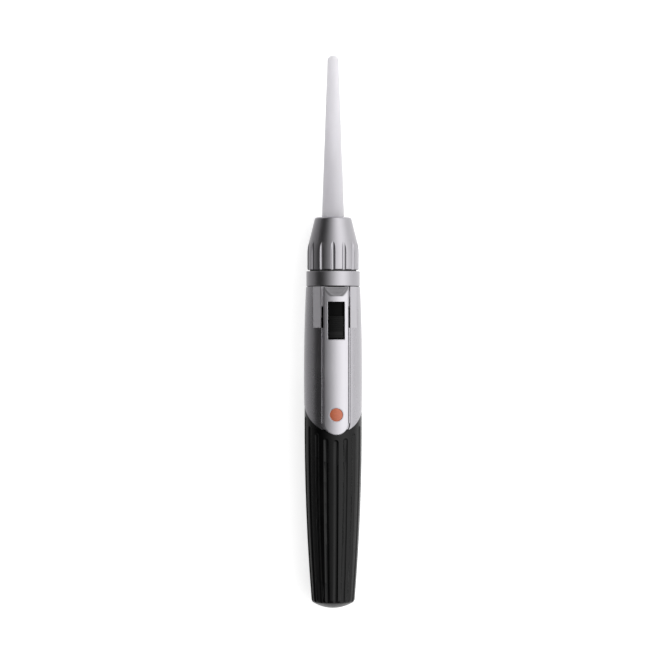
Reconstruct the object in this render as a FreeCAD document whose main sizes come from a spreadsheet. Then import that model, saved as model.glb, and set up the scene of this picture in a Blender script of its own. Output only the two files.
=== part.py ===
"""Pen-type otoscope: a battery handle with a pocket clip and a slide switch, a
screwed head with a lamp, and a fluted nose cone that holds a tapered light tip.

Each sub-part is drawn upright, in millimetres: Z runs along the handle from the
domed end (0) to the end of the tip, the clip is at the front (-Y) and X is to
the right. One placement then lays them all down on the back of the handle, so
that in the finished model +Y points to the tip and +Z out of the clip, with the
origin under the middle of the length.
"""
import FreeCAD, Part
import math
import os
import Sketcher
from FreeCAD import Placement, Rotation, Vector

os.makedirs("parts", exist_ok=True)
doc = FreeCAD.newDocument("otoscope")

# ---------------------------------------------------------------- driving sizes
SIZES = [
    # cells and the tube round them
    ("cell_radius", 7.25, "AA cell"),
    ("cell_length", 50.5, "AA cell with its cap"),
    ("cap_radius", 2.7, "positive cap of a cell"),
    ("cap_height", 1.0, "positive cap of a cell"),
    ("jacket_wall", 0.2, "printed jacket of a cell"),
    ("slip_gap", 0.1, "radial gap round a piece that slips in"),
    ("fit_gap", 0.05, "radial gap of a glued or pressed fit"),
    ("side_gap", 0.15, "gap beside a piece that slides"),
    ("tube_wall", 0.35, "battery tube"),
    # grip
    ("floor_height", 4.0, "inside floor of the grip"),
    ("spring_height", 8.5, "battery spring, fitted"),
    ("spring_wire", 0.4, "radius of the battery spring's wire"),
    ("spring_base", 5.4, "battery spring, mean radius at its base"),
    ("spring_cone", 14, "degrees, battery spring"),
    ("spring_turns", 4.5, "battery spring"),
    ("cup_wall", 0.35, "spring cup"),
    ("cup_radius", 6.35, "spring cup"),
    ("cup_height", 7.0, "spring cup, up to its rim"),
    ("spigot_wall", 1.5, "inner tube of the grip"),
    ("spigot_stop", 1.0, "inner tube of the grip, below the shell's mouth"),
    ("grip_inset", 0.2, "grip below the chromed shell, at its widest"),
    ("grip_widest", 2.9, "grip's widest place, above the front of the slanted edge"),
    ("grip_drop", 2.7, "grip radius lost from the widest place to the end"),
    ("grip_end", 2.5, "height where the grip's side meets the domed end"),
    ("corner_round", 1.8, "round between the side and the dome"),
    ("flute_count", 18, "flutes round the grip"),
    ("flute_width", 2.0, "flute"),
    ("flute_depth", 0.45, "flute"),
    ("flute_margin", 2.5, "from the shell's edge to the top of a flute"),
    # chromed shell
    ("shell_wall", 1.6, "shell, at its widest"),
    ("shell_drop", 0.77, "shell radius lost from the widest place to the top"),
    ("widest_below_top", 32.4, "widest place, below the shell's top"),
    ("front_length", 54.9, "shell, from its top to the front of the slanted edge"),
    ("edge_slope", 0.98, "rise of the slanted edge per millimetre backwards"),
    ("top_above_cells", 6.9, "shell's top above the upper cell's cap"),
    ("mouth_depth", 7.4, "threaded mouth of the shell"),
    ("edge_chamfer", 0.15, "chamfer on chromed edges"),
    ("flat_angle", 42.0, "direction of each flat beside the clip, from the front"),
    ("flat_depth", 0.13, "flat beside the clip"),
    ("flat_length", 15.4, "flat and slot beside the clip, down from the top"),
    # threads, drawn as rings
    ("thread_depth", 0.3, "thread"),
    ("head_pitch", 1.0, "thread of the head"),
    ("nose_pitch", 0.75, "thread of the nose"),
    # clip
    ("clip_half_width", 4.6, "clip"),
    ("clip_thickness", 1.0, "clip"),
    ("clip_gap", 0.2, "clip above the shell"),
    ("clip_overhang", 0.5, "clip past the front of the slanted edge"),
    ("clip_top_gap", 0.2, "clip below the shell's top"),
    ("clip_edge_round", 0.35, "round on the clip's outer edges"),
    ("bevel_length", 3.4, "bevel at the clip's top"),
    ("bevel_depth", 1.0, "bevel at the clip's top"),
    ("bevel_round", 0.3, "round between the bevel and the clip's face"),
    ("channel_depth", 0.45, "channel in the shell under the clip"),
    ("channel_margin", 0.6, "channel and slots wider than the clip"),
    ("channel_chamfer", 0.4, "chamfer along the channel and the slots"),
    ("relief_height", 3.2, "slope that frees the clip's top as it opens"),
    ("relief_depth", 1.3, "slope that frees the clip's top as it opens"),
    ("ear_thickness", 0.7, "ear of the clip"),
    ("ear_reach", 10.2, "front of the clip's ears, from the handle's axis"),
    ("ear_radius", 1.0, "ear round the pin"),
    ("pin_radius", 0.4, "clip pin"),
    ("pin_depth", 8.9, "pin, from the handle's axis"),
    ("pin_below_top", 2.7, "pin, below the shell's top"),
    ("coil_wire", 0.15, "radius of the clip spring's wire"),
    ("coil_turns", 4, "clip spring"),
    ("coil_pitch", 2.2, "clip spring, in radii of its wire"),
    ("leg_length", 1.5, "clip spring, each leg"),
    ("leg_slope", 30, "degrees, each leg towards the clip"),
    # switch
    ("window_half_width", 3.17, "window in the clip"),
    ("window_top", 5.7, "window in the clip, below the shell's top"),
    ("window_length", 14.1, "window in the clip"),
    ("button_length", 8.0, "switch button"),
    ("button_end_gap", 0.65, "window past the button's lower end"),
    ("button_side_gap", 0.22, "window beside the button"),
    ("button_height", 0.75, "switch button above the bed"),
    ("button_travel", 5.0, "switch, from off to on"),
    ("rib_count", 8, "ribs across the button"),
    ("rib_depth", 0.3, "ribs across the button"),
    ("lip_length", 2.2, "plain lip below the ribs"),
    ("leaf_length", 4.5, "contact leaf"),
    ("leaf_nose", 1.0, "half the length of the contact leaf's nose"),
    ("leaf_inset", 0.2, "contact leaf inside the edge of the strip"),
    ("bed_thickness", 0.4, "plate behind the button"),
    ("bed_margin", 0.3, "plate past the window"),
    ("stem_half_width", 1.2, "stem of the button"),
    ("stem_length", 2.4, "stem of the button"),
    ("stem_inset", 0.3, "stem, from the button's lower end"),
    ("carriage_half_width", 2.5, "slider under the shell"),
    ("carriage_length", 5.8, "slider under the shell"),
    ("carriage_height", 0.6, "slider under the shell"),
    ("strip_half_width", 1.2, "contact strip"),
    ("strip_thickness", 0.2, "contact strip and leaf"),
    # badge
    ("badge_radius", 2.6, "enamel disc"),
    ("badge_height", 7.1, "enamel disc, above the front of the slanted edge"),
    ("badge_depth", 0.35, "enamel disc in the clip"),
    ("badge_proud", 0.05, "enamel disc above the clip"),
    # head
    ("head_gap", 0.2, "head gasket"),
    ("collar_height", 5.6, "collar ring"),
    ("gasket_inset", 0.4, "head gasket below the collar"),
    ("collar_inset", 0.13, "collar below the shell's top edge"),
    ("spigot_depth", 5.4, "head's threaded spigot in the shell"),
    ("boss_height", 4.6, "threaded boss for the nose"),
    ("boss_radius", 7.3, "threaded boss for the nose"),
    ("neck_gap", 0.5, "neck gasket"),
    ("neck_radius", 8.7, "neck gasket"),
    ("socket_radius", 5.1, "lamp socket"),
    ("socket_wall", 0.9, "lamp socket"),
    ("bush_height", 3.6, "insulating bush"),
    ("bush_floor", 0.8, "insulating bush"),
    ("socket_lip", 0.6, "height of the lip under the insulating bush"),
    ("socket_lip_width", 1.0, "lip under the insulating bush"),
    ("plunger_radius", 1.4, "contact plunger"),
    ("plunger_stroke", 0.8, "contact plunger"),
    ("plunger_flange", 2.3, "radius of the plunger's flange"),
    ("flange_thickness", 0.5, "plunger's flange"),
    ("plunger_wire", 0.2, "radius of the plunger spring's wire"),
    ("plunger_turns", 4, "plunger spring"),
    ("lamp_base_height", 6.5, "lamp"),
    ("lamp_flange", 1.2, "height of the flange on the lamp's base"),
    ("lamp_step", 0.6, "flange of the lamp's base beyond its neck"),
    ("bulb_radius", 2.5, "lamp"),
    ("bulb_height", 5.6, "lamp"),
    ("glass_wall", 0.3, "lamp"),
    ("bulb_seat", 1.5, "bulb's depth in its base"),
    ("filament_wire", 0.12, "radius of the filament and its posts"),
    ("filament_reach", 0.9, "each post from the axis"),
    # nose
    ("nose_height", 19.7, "nose cone"),
    ("nose_inset", 0.4, "nose below the collar"),
    ("nose_straight", 8.1, "straight lower part of the nose"),
    ("nose_taper", 13.9, "degrees, slope of the cone"),
    ("nose_turn", -6, "degrees, first flute of the nose from the front"),
    ("nose_blend", 15.0, "round between the straight part and the cone"),
    ("nose_top_round", 1.0, "round at the nose's top"),
    ("nose_foot_round", 0.4, "round at the nose's foot"),
    ("nose_flutes", 14, "flutes round the nose"),
    ("nose_flute_radius", 0.9, "flute of the nose"),
    ("nose_flute_depth", 0.6, "flute of the nose"),
    ("nose_thread_depth", 5.3, "threaded bore of the nose"),
    ("lens_radius", 4.9, "lens"),
    ("lens_bulge", 0.55, "lens, each face"),
    ("lens_edge", 1.0, "lens, at its edge"),
    ("retainer_height", 1.4, "ring under the lens"),
    ("seal_wire", 0.5, "radius of the tip seal's cord"),
    # tip
    ("tip_length", 60.6, "tip, outside the nose"),
    ("tip_plug", 8.0, "tip, inside the nose"),
    ("tip_stop", 0.8, "lens seat below the tip"),
    ("tip_root", 4.2, "tip radius at the nose"),
    ("tip_end", 2.05, "tip radius at the end"),
    ("tip_round", 1.6, "round at the tip's end"),
]


class Dim:
    """A number and the sheet expression that gives it."""

    def __init__(self, value, text):
        self.value = value
        self.text = text

    def combine(self, other, sign, result):
        """Dim for self SIGN other, whose value is already known."""
        return Dim(result, "(%s %s %s)" % (self.text, sign, dim(other).text))

    def __add__(self, other):
        return self.combine(other, "+", self.value + dim(other).value)

    def __radd__(self, other):
        return dim(other) + self

    def __sub__(self, other):
        return self.combine(other, "-", self.value - dim(other).value)

    def __rsub__(self, other):
        return dim(other) - self

    def __mul__(self, other):
        return self.combine(other, "*", self.value * dim(other).value)

    def __rmul__(self, other):
        return dim(other) * self

    def __truediv__(self, other):
        return self.combine(other, "/", self.value / dim(other).value)

    def __rtruediv__(self, other):
        return dim(other) / self

    def __neg__(self):
        return dim(0) - self


def dim(number):
    """A Dim as it is, and a plain number as a constant Dim."""
    return number if isinstance(number, Dim) else Dim(float(number), "%.10g" % number)


def root(number):
    return Dim(math.sqrt(number.value), "sqrt(%s)" % number.text)


def sine(degrees):
    return Dim(math.sin(math.radians(degrees.value)), "sin(%s)" % degrees.text)


def cosine(degrees):
    return Dim(math.cos(math.radians(degrees.value)), "cos(%s)" % degrees.text)


def arcsine(number):
    return Dim(math.degrees(math.asin(number.value)), "asin(%s)" % number.text)


def tangent(degrees):
    return Dim(math.tan(math.radians(degrees.value)), "tan(%s)" % degrees.text)


class Sheet:
    """The spreadsheet of driving sizes, read by name."""

    def __init__(self, rows):
        self.sheet = doc.addObject("Spreadsheet::Sheet", "Sizes")
        for row, (alias, value, note) in enumerate(rows, start=1):
            self.sheet.set("A%d" % row, str(value))
            self.sheet.setAlias("A%d" % row, alias)
            self.sheet.set("B%d" % row, note)
        doc.recompute()

    def __getattr__(self, alias):
        return Dim(float(self.sheet.get(alias)), "Sizes.%s" % alias)


size = Sheet(SIZES)

# Settings that no other size depends on.
PATCH_SWEEP = 80
SEAM_SIDE = 90
PRESS_GAP = 0.02
GASKET_GAP = 0.02
LENS_RIM = 0.7
HEAD_THREADS = 4
NOSE_THREADS = 5


# --------------------------------------------------- places that pieces share
# Radii, from the cell outwards.
tube_bore = size.cell_radius + size.slip_gap
tube_radius = tube_bore + size.tube_wall
grip_bore = tube_radius + size.slip_gap
spigot_radius = grip_bore + size.spigot_wall
shell_bore = spigot_radius + size.fit_gap
shell_radius = shell_bore + size.shell_wall
grip_radius = shell_radius - size.grip_inset
mouth_bore = size.cell_radius + 3 * size.slip_gap

# Heights, from the domed end upwards.
cell_bottom = size.floor_height + size.spring_height
cells_top = cell_bottom + 2 * size.cell_length
shell_top = cells_top + size.top_above_cells
shell_middle = shell_top - size.widest_below_top
mouth_floor = shell_top - size.mouth_depth
spigot_top = mouth_floor - size.spigot_stop
edge_front = shell_top - size.front_length
edge_middle = edge_front + size.edge_slope * shell_radius
grip_middle = edge_front + size.grip_widest
flat_bottom = shell_top - size.flat_length
pin_height = shell_top - size.pin_below_top
window_top = shell_top - size.window_top
window_bottom = window_top - size.window_length
button_bottom = window_bottom + size.button_end_gap
clip_top = shell_top - size.clip_top_gap
clip_bottom = edge_front - size.clip_overhang
channel_half_width = size.clip_half_width + size.channel_margin
collar_bottom = shell_top + size.head_gap
collar_top = collar_bottom + size.collar_height
boss_top = collar_top + size.boss_height
nose_bottom = collar_top + size.neck_gap
nose_top = nose_bottom + size.nose_height
tip_top = nose_top + size.tip_length


def bulge_radius(length, drop):
    """Radius of the arc that falls away by drop over length."""
    return (length * length + drop * drop) / (2 * drop)


shell_arc = bulge_radius(size.widest_below_top, size.shell_drop)
grip_arc = bulge_radius(grip_middle - size.grip_end, size.grip_drop)


def shell_side(height, lift=0.0):
    """Radius at a height of the shell's bulging side, or of a surface lifted off it."""
    away = height - shell_middle
    arc = shell_arc + lift
    return shell_radius - shell_arc + root(arc * arc - away * away)


def grip_side(height):
    """Radius of the grip's bulging side at a height."""
    away = height - grip_middle
    return grip_radius - grip_arc + root(grip_arc * grip_arc - away * away)


def edge_height(forward):
    """Height of the slanted edge at a distance in front of the handle's axis."""
    return edge_middle - size.edge_slope * forward


collar_radius = shell_side(shell_top) - size.collar_inset
nose_radius = collar_radius - size.nose_inset
clip_inside = size.clip_half_width - size.ear_thickness
slot_inside = clip_inside - size.side_gap
coil_radius = size.pin_radius + size.coil_wire + size.fit_gap
notch_half_width = size.coil_wire * (size.coil_turns + 2) + size.slip_gap
bed_top = window_top + size.bed_margin

# Inside the head and the nose.
spigot_bottom = shell_top - size.spigot_depth
bush_top = spigot_bottom + size.socket_lip + size.bush_height
flange_bottom = spigot_bottom + size.socket_lip + size.bush_floor + size.fit_gap
flange_top = flange_bottom + size.flange_thickness
lamp_top = bush_top + size.lamp_base_height
bulb_bottom = lamp_top - size.bulb_seat
lens_seat = nose_top - size.tip_plug - size.tip_stop
seal_middle = nose_top - size.tip_plug / 2

# The switch, as distances in front of the axis.
strip_back = tube_bore + size.fit_gap
strip_front = strip_back + size.strip_thickness
leaf_back = strip_front + size.fit_gap
leaf_front = leaf_back + size.strip_thickness
carriage_front = leaf_front + size.carriage_height
button_back = shell_side(button_bottom) - size.channel_depth + size.bed_thickness + size.slip_gap
button_front = button_back + size.button_height
stem_bottom = button_bottom + size.stem_inset
carriage_bottom = button_bottom + size.slip_gap
strip_top = carriage_bottom + size.carriage_length


# ------------------------------------------------------------- drawing helpers
class Corner:
    """A corner of an outline; centre and turn describe the arc that leaves it."""

    def __init__(self, across, up, centre=None, turn="left"):
        self.across = dim(across)
        self.up = dim(up)
        self.centre = centre
        self.turn = turn


def plane_of(body, role):
    return next(plane for plane in body.Origin.OriginFeatures if plane.Role == role)


def new_body(name):
    body = doc.addObject("PartDesign::Body", name)
    body.Label = name
    return body


def new_sketch(body, role, offset=Placement()):
    sketch = body.newObject("Sketcher::SketchObject", body.Name + "_sketch")
    sketch.AttachmentSupport = [(plane_of(body, role), "")]
    sketch.MapMode = "FlatFace"
    sketch.AttachmentOffset = offset
    return sketch


def side_sketch(body, degrees=0.0, right=0.0):
    """Sketch seen from the side: across is the distance in front of the axis.

    degrees turns its plane about the axis, and right moves it to the right.
    """
    turn = Rotation(Vector(0, 1, 0), dim(degrees).value - 90)
    sketch = new_sketch(body, "XZ_Plane", Placement(Vector(), turn))
    sketch.setExpression("AttachmentOffset.Base.x", dim(right).text)
    return sketch


def front_sketch(body, forward=0.0):
    """Sketch seen from the front, at a distance in front of the axis."""
    sketch = new_sketch(body, "XZ_Plane")
    sketch.setExpression("AttachmentOffset.Base.z", dim(forward).text)
    return sketch


def top_sketch(body, height=0.0):
    """Sketch seen from the tip, at a height."""
    sketch = new_sketch(body, "XY_Plane")
    sketch.setExpression("AttachmentOffset.Base.z", dim(height).text)
    return sketch


def fix(sketch, geometry, point, across, up):
    """Fixes one point of a sketch at bound distances from the origin."""
    for kind, place in (("DistanceX", across), ("DistanceY", up)):
        if place is None:
            continue
        if place.text == "0":
            axis = -2 if kind == "DistanceX" else -1
            sketch.addConstraint(Sketcher.Constraint("PointOnObject", geometry, point, axis))
            continue
        constraint = Sketcher.Constraint(kind, -1, 1, geometry, point, place.value)
        index = sketch.addConstraint(constraint)
        sketch.setExpression("Constraints[%d]" % index, place.text)


def angle_at(centre, corner):
    return math.atan2(corner.up.value - centre[1].value, corner.across.value - centre[0].value)


def draw_outline(sketch, corners):
    """Draws a closed outline of straight and round edges, every corner bound to the sheet."""
    edges = []
    for start, end in zip(corners, corners[1:] + corners[:1]):
        if start.centre is None:
            line = Part.LineSegment(Vector(start.across.value, start.up.value, 0),
                                    Vector(end.across.value, end.up.value, 0))
            edges.append((sketch.addGeometry(line, False), 1, 2))
            continue
        centre = [dim(place) for place in start.centre]
        first, last = angle_at(centre, start), angle_at(centre, end)
        radius = math.hypot(start.across.value - centre[0].value, start.up.value - centre[1].value)
        circle = Part.Circle(Vector(centre[0].value, centre[1].value, 0), Vector(0, 0, 1), radius)
        swap = start.turn == "right"
        if swap:
            first, last = last, first
        if last < first:
            last += 2 * math.pi
        arc = sketch.addGeometry(Part.ArcOfCircle(circle, first, last), False)
        edges.append((arc, 2, 1) if swap else (arc, 1, 2))
        flat_chord = abs(end.across.value - start.across.value) > abs(end.up.value - start.up.value)
        fix(sketch, arc, 3, None if flat_chord else centre[0], centre[1] if flat_chord else None)
    for edge, following, corner in zip(edges, edges[1:] + edges[:1], corners[1:] + corners[:1]):
        sketch.addConstraint(
            Sketcher.Constraint("Coincident", edge[0], edge[2], following[0], following[1]))
        fix(sketch, following[0], following[1], corner.across, corner.up)


def draw_box(sketch, left, right, bottom, top):
    draw_outline(sketch, [Corner(left, bottom), Corner(right, bottom),
                          Corner(right, top), Corner(left, top)])


def draw_circle(sketch, across, up, radius):
    across, up, radius = dim(across), dim(up), dim(radius)
    circle = Part.Circle(Vector(across.value, up.value, 0), Vector(0, 0, 1), radius.value)
    index = sketch.addGeometry(circle, False)
    fix(sketch, index, 3, across, up)
    constraint = sketch.addConstraint(Sketcher.Constraint("Radius", index, radius.value))
    sketch.setExpression("Constraints[%d]" % constraint, radius.text)


def settle(body, feature, adds):
    """Recomputes and makes sure that the feature added or removed material."""
    base = feature.BaseFeature
    before = base.Shape.Volume if base else 0.0
    doc.recompute()
    grew = feature.Shape.Volume > before
    if feature.Shape.Volume == before or grew != adds:
        raise RuntimeError("%s of %s changed nothing" % (feature.Name, body.Label))
    return feature


def revolve(body, sketch, degrees=360, adds=True):
    kind = "Revolution" if adds else "Groove"
    feature = body.newObject("PartDesign::" + kind, body.Name + "_" + kind)
    feature.Profile = (sketch, [""])
    feature.ReferenceAxis = (sketch, ["V_Axis"])
    feature.Midplane = True
    feature.setExpression("Angle", dim(degrees).text)
    return settle(body, feature, adds)


def pad(body, sketch, length, both_ways=False):
    feature = body.newObject("PartDesign::Pad", body.Name + "_Pad")
    feature.Profile = (sketch, [""])
    feature.SideType = "Symmetric" if both_ways else "One side"
    feature.setExpression("Length", dim(length).text)
    return settle(body, feature, True)


def pocket(body, sketch, length, both_ways=False, outwards=False):
    """Cuts backwards from the sketch, or outwards towards its viewer."""
    feature = body.newObject("PartDesign::Pocket", body.Name + "_Pocket")
    feature.Profile = (sketch, [""])
    feature.SideType = "Symmetric" if both_ways else "One side"
    feature.Reversed = outwards
    feature.setExpression("Length", dim(length).text)
    return settle(body, feature, False)


def repeat(body, feature, count):
    """Repeats a feature round the handle's axis."""
    pattern = body.newObject("PartDesign::PolarPattern", body.Name + "_Pattern")
    pattern.Originals = [feature]
    pattern.Axis = (plane_of(body, "Z_Axis"), [""])
    pattern.Angle = 360
    pattern.setExpression("Occurrences", dim(count).text)
    body.Tip = pattern
    doc.recompute()
    return pattern


def dress(body, kind, amount, wanted):
    """Fillets or chamfers the edges of the body's tip that wanted accepts."""
    names = ["Edge%d" % number for number, edge in enumerate(body.Tip.Shape.Edges, start=1)
             if wanted(edge)]
    if not names:
        raise RuntimeError("no edges to dress on %s" % body.Label)
    base = body.Tip
    feature = body.newObject("PartDesign::" + kind, body.Name + "_" + kind)
    feature.Base = (base, names)
    feature.setExpression("Radius" if kind == "Fillet" else "Size", dim(amount).text)
    doc.recompute()
    return feature


def round_edge_at(height, radius=None):
    """Test for a full circle about the axis at a height, and of a radius if given."""
    def wanted(edge):
        box = edge.BoundBox
        level = box.ZLength < 1e-6 and abs(box.ZMin - height.value) < 1e-4
        return level and (radius is None or abs(box.XMax - radius.value) < 1e-3)
    return wanted


def turned(name, corners):
    """A body turned about the handle's axis from an outline of radii and heights."""
    body = new_body(name)
    sketch = side_sketch(body, SEAM_SIDE)
    draw_outline(sketch, corners)
    revolve(body, sketch)
    return body


def ring(name, inner, outer, bottom, top):
    """A plain ring or tube."""
    return turned(name, [Corner(inner, bottom), Corner(outer, bottom),
                         Corner(outer, top), Corner(inner, top)])


def front_block(name, half_width, back, front, bottom, top):
    """A block with flat sides, between two distances in front of the axis."""
    body = new_body(name)
    sketch = side_sketch(body)
    draw_box(sketch, back, front, bottom, top)
    pad(body, sketch, 2 * half_width, both_ways=True)
    return body


def thread_rings(radius, depth, bottom, pitch, count, upwards=True):
    """Corners of square thread rings: grooves of a depth into a side at radius."""
    corners = []
    order = range(count) if upwards else reversed(range(count))
    for turn in order:
        low = bottom + pitch * (turn + 0.25)
        high = bottom + pitch * (turn + 0.75)
        first, last = (low, high) if upwards else (high, low)
        corners += [Corner(radius, first), Corner(radius + depth, first),
                    Corner(radius + depth, last), Corner(radius, last)]
    return corners


def wire_coil(name, radius, wire, pitch, height, cone=0.0):
    """A helical spring about its own Z axis, starting at height 0."""
    helix = doc.addObject("Part::Helix", name + "_path")
    helix.setExpression("Radius", dim(radius).text)
    helix.setExpression("Pitch", dim(pitch).text)
    helix.setExpression("Height", dim(height).text)
    helix.setExpression("Angle", dim(cone).text)
    section = doc.addObject("Part::Circle", name + "_section")
    section.setExpression("Radius", dim(wire).text)
    section.setExpression("Placement.Base.x", dim(radius).text)
    section.Placement.Rotation = Rotation(Vector(1, 0, 0), 90)
    spring = doc.addObject("Part::Sweep", name)
    spring.Sections = [section]
    spring.Spine = (helix, [])
    spring.Solid = True
    spring.Frenet = True
    spring.Label = name
    doc.recompute()
    return spring


def curved_patch(name, low, high, bottom, top, draw):
    """A plate that follows the shell's front, between two lifts off its surface.

    draw puts the plate's outline, and any holes, in a front sketch.
    """
    body = new_body(name)
    centre = (shell_radius - shell_arc, shell_middle)
    section = side_sketch(body)
    draw_outline(section, [Corner(shell_side(bottom, low), bottom, centre),
                           Corner(shell_side(top, low), top),
                           Corner(shell_side(top, high), top, centre, "right"),
                           Corner(shell_side(bottom, high), bottom)])
    revolve(body, section, PATCH_SWEEP)
    surround = front_sketch(body)
    reach = 2 * shell_radius
    draw_box(surround, -reach, reach, bottom - 5, top + 5)
    draw(surround)
    pocket(body, surround, reach, outwards=True)
    return body


def middle_of(edge):
    """Middle point of an edge, and its lift off the shell's side."""
    middle = edge.valueAt((edge.FirstParameter + edge.LastParameter) / 2)
    return middle, math.hypot(middle.x, middle.y) - shell_side(dim(middle.z)).value


def draw_tongue(sketch, half_width, bottom, top):
    """Outline of a strip with a round lower end."""
    middle = bottom + half_width
    draw_outline(sketch, [Corner(-half_width, middle, (0, middle)), Corner(half_width, middle),
                          Corner(half_width, top), Corner(-half_width, top)])


def cut_away(name, base, tool):
    """Boolean difference, labelled as the finished sub-part."""
    cut = doc.addObject("Part::Cut", name)
    cut.Base = base
    cut.Tool = tool
    cut.Label = name
    doc.recompute()
    if not 0 < cut.Shape.Volume < base.Shape.Volume:
        raise RuntimeError("%s was not cut" % name)
    return cut


# ------------------------------------------------------------------------ grip
def cut_slanted_edge(body, above):
    """Cuts away all that is above, or below, the slanted edge."""
    reach = shell_radius + 2
    limit = shell_top + 5 if above else edge_front - 5
    sketch = side_sketch(body)
    draw_outline(sketch, [Corner(-reach, edge_height(-reach)), Corner(reach, edge_height(reach)),
                          Corner(reach, limit), Corner(-reach, limit)])
    pocket(body, sketch, 2 * reach, both_ways=True)


def make_grip_blank():
    """The grip without its flutes: domed sleeve with a spigot that holds the shell."""
    body = new_body("grip_blank")
    corner = grip_side(size.grip_end)
    above_edge = edge_height(-grip_radius) + 2
    chamber = size.cup_radius + size.fit_gap
    rim = size.floor_height + size.cup_height
    section = side_sketch(body, SEAM_SIDE)
    draw_outline(section, [
        Corner(0, 0, (0, bulge_radius(corner, size.grip_end))),
        Corner(corner, size.grip_end, (grip_radius - grip_arc, grip_middle)),
        Corner(grip_side(above_edge), above_edge),
        Corner(grip_bore, above_edge),
        Corner(grip_bore, rim),
        Corner(chamber, rim),
        Corner(chamber, size.floor_height),
        Corner(0, size.floor_height)])
    revolve(body, section)
    dress(body, "Fillet", size.corner_round, round_edge_at(size.grip_end))
    cut_slanted_edge(body, above=True)
    spigot = side_sketch(body, SEAM_SIDE)
    draw_box(spigot, grip_bore, spigot_radius, edge_front - 1, spigot_top)
    revolve(body, spigot)
    notch = front_sketch(body)
    half_width = size.carriage_half_width + size.side_gap
    draw_box(notch, -half_width, half_width, carriage_bottom - size.side_gap, spigot_top + 1)
    pocket(body, notch, shell_radius, outwards=True)
    return body


def make_flute_cutters():
    """One cutter per flute: a ring segment that follows the side, with a ball at its top."""
    cutter = bulge_radius(size.flute_width / 2, size.flute_depth)
    path = grip_arc + cutter - size.flute_depth
    centre = grip_radius - grip_arc
    low = arcsine((grip_middle + size.grip_end) / path)
    pieces = []
    count = int(size.flute_count.value)
    for number in range(count):
        around = 360.0 / count * number
        forward = grip_radius * math.cos(math.radians(around))
        top = edge_height(forward) - size.flute_margin - size.flute_width / 2
        high = arcsine((top - grip_middle) / path)
        turn = Rotation(Vector(0, 0, 1), around)
        outwards = turn.multVec(Vector(0, -1, 0))
        rise = math.radians(high.value)
        along = outwards * math.cos(rise) + Vector(0, 0, math.sin(rise))
        down = outwards * math.sin(rise) - Vector(0, 0, math.cos(rise))
        middle = outwards * centre.value + Vector(0, 0, grip_middle.value)
        groove = doc.addObject("Part::Torus", "flute_%02d" % number)
        groove.setExpression("Radius1", path.text)
        groove.setExpression("Radius2", cutter.text)
        groove.setExpression("Angle3", (high + low).text)
        groove.Placement = Placement(middle, Rotation(along, down, Vector(), "XYZ"))
        ball = doc.addObject("Part::Sphere", "flute_end_%02d" % number)
        ball.setExpression("Radius", cutter.text)
        ball.Placement.Base = middle + along * path.value
        pieces += [groove, ball]
    cutters = doc.addObject("Part::MultiFuse", "flute_cutters")
    cutters.Shapes = pieces
    doc.recompute()
    return cutters


def make_grip():
    return cut_away("grip_sleeve", make_grip_blank(), make_flute_cutters())


# ----------------------------------------------------------------------- cells
def make_spring_cup():
    low = size.floor_height
    rim = low + size.cup_height
    wall = size.cup_wall
    return turned("spring_cup", [
        Corner(0, low), Corner(size.cup_radius, low), Corner(size.cup_radius, rim),
        Corner(strip_back, rim), Corner(strip_back, rim + wall),
        Corner(size.cup_radius - wall, rim + wall), Corner(size.cup_radius - wall, low + wall),
        Corner(0, low + wall)])


def make_battery_spring():
    low = size.floor_height + size.cup_wall + size.spring_wire + size.fit_gap
    height = cell_bottom - size.spring_wire - size.fit_gap - low
    spring = wire_coil("battery_spring", size.spring_base, size.spring_wire,
                       height / size.spring_turns, height, -size.spring_cone)
    return spring, Placement(Vector(0, 0, low.value), Rotation())


def make_battery_tube():
    """Insulating tube with a slot at the front for the contact strip."""
    low = size.floor_height + size.cup_height + size.cup_wall
    tube = ring("battery_tube", tube_bore, tube_radius, low, spigot_top)
    slot = front_sketch(tube)
    half_width = size.strip_half_width + size.slip_gap
    draw_box(slot, -half_width, half_width, low - 1, strip_top + size.button_travel + size.side_gap)
    pocket(tube, slot, shell_radius, outwards=True)
    return tube


def make_contact_strip():
    low = size.floor_height + size.cup_height
    return front_block("contact_strip", size.strip_half_width, strip_back, strip_front, low, strip_top)


def make_cell(name, bottom):
    """A cell: its metal can with the cap, and its printed jacket."""
    can = size.cell_radius - size.jacket_wall
    shoulder = bottom + size.cell_length - size.cap_height
    body = turned("cell_" + name, [
        Corner(0, bottom), Corner(can, bottom), Corner(can, shoulder),
        Corner(size.cap_radius, shoulder), Corner(size.cap_radius, bottom + size.cell_length),
        Corner(0, bottom + size.cell_length)])
    jacket = ring("cell_%s_jacket" % name, can, size.cell_radius, bottom + size.jacket_wall, shoulder)
    return [body, jacket]


# ----------------------------------------------------------------------- shell
def cut_flats(body):
    """A shallow flat on each side of the clip."""
    low = shell_side(flat_bottom) - size.flat_depth
    high = shell_side(shell_top) - size.flat_depth
    for side in (-1, 1):
        sketch = side_sketch(body, side * size.flat_angle)
        draw_outline(sketch, [Corner(low, flat_bottom), Corner(shell_radius + 1, flat_bottom),
                              Corner(shell_radius + 1, shell_top + 1), Corner(high, shell_top + 1),
                              Corner(high, shell_top)])
        pocket(body, sketch, shell_radius, both_ways=True)


def cut_ear_slots(body):
    """A slot on each side of the clip, where its ears reach the pin."""
    sketch = front_sketch(body, size.pin_depth - size.ear_radius - size.side_gap)
    draw_box(sketch, slot_inside, channel_half_width, flat_bottom, shell_top + 1)
    draw_box(sketch, -channel_half_width, -slot_inside, flat_bottom, shell_top + 1)
    pocket(body, sketch, shell_radius, outwards=True)


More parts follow.
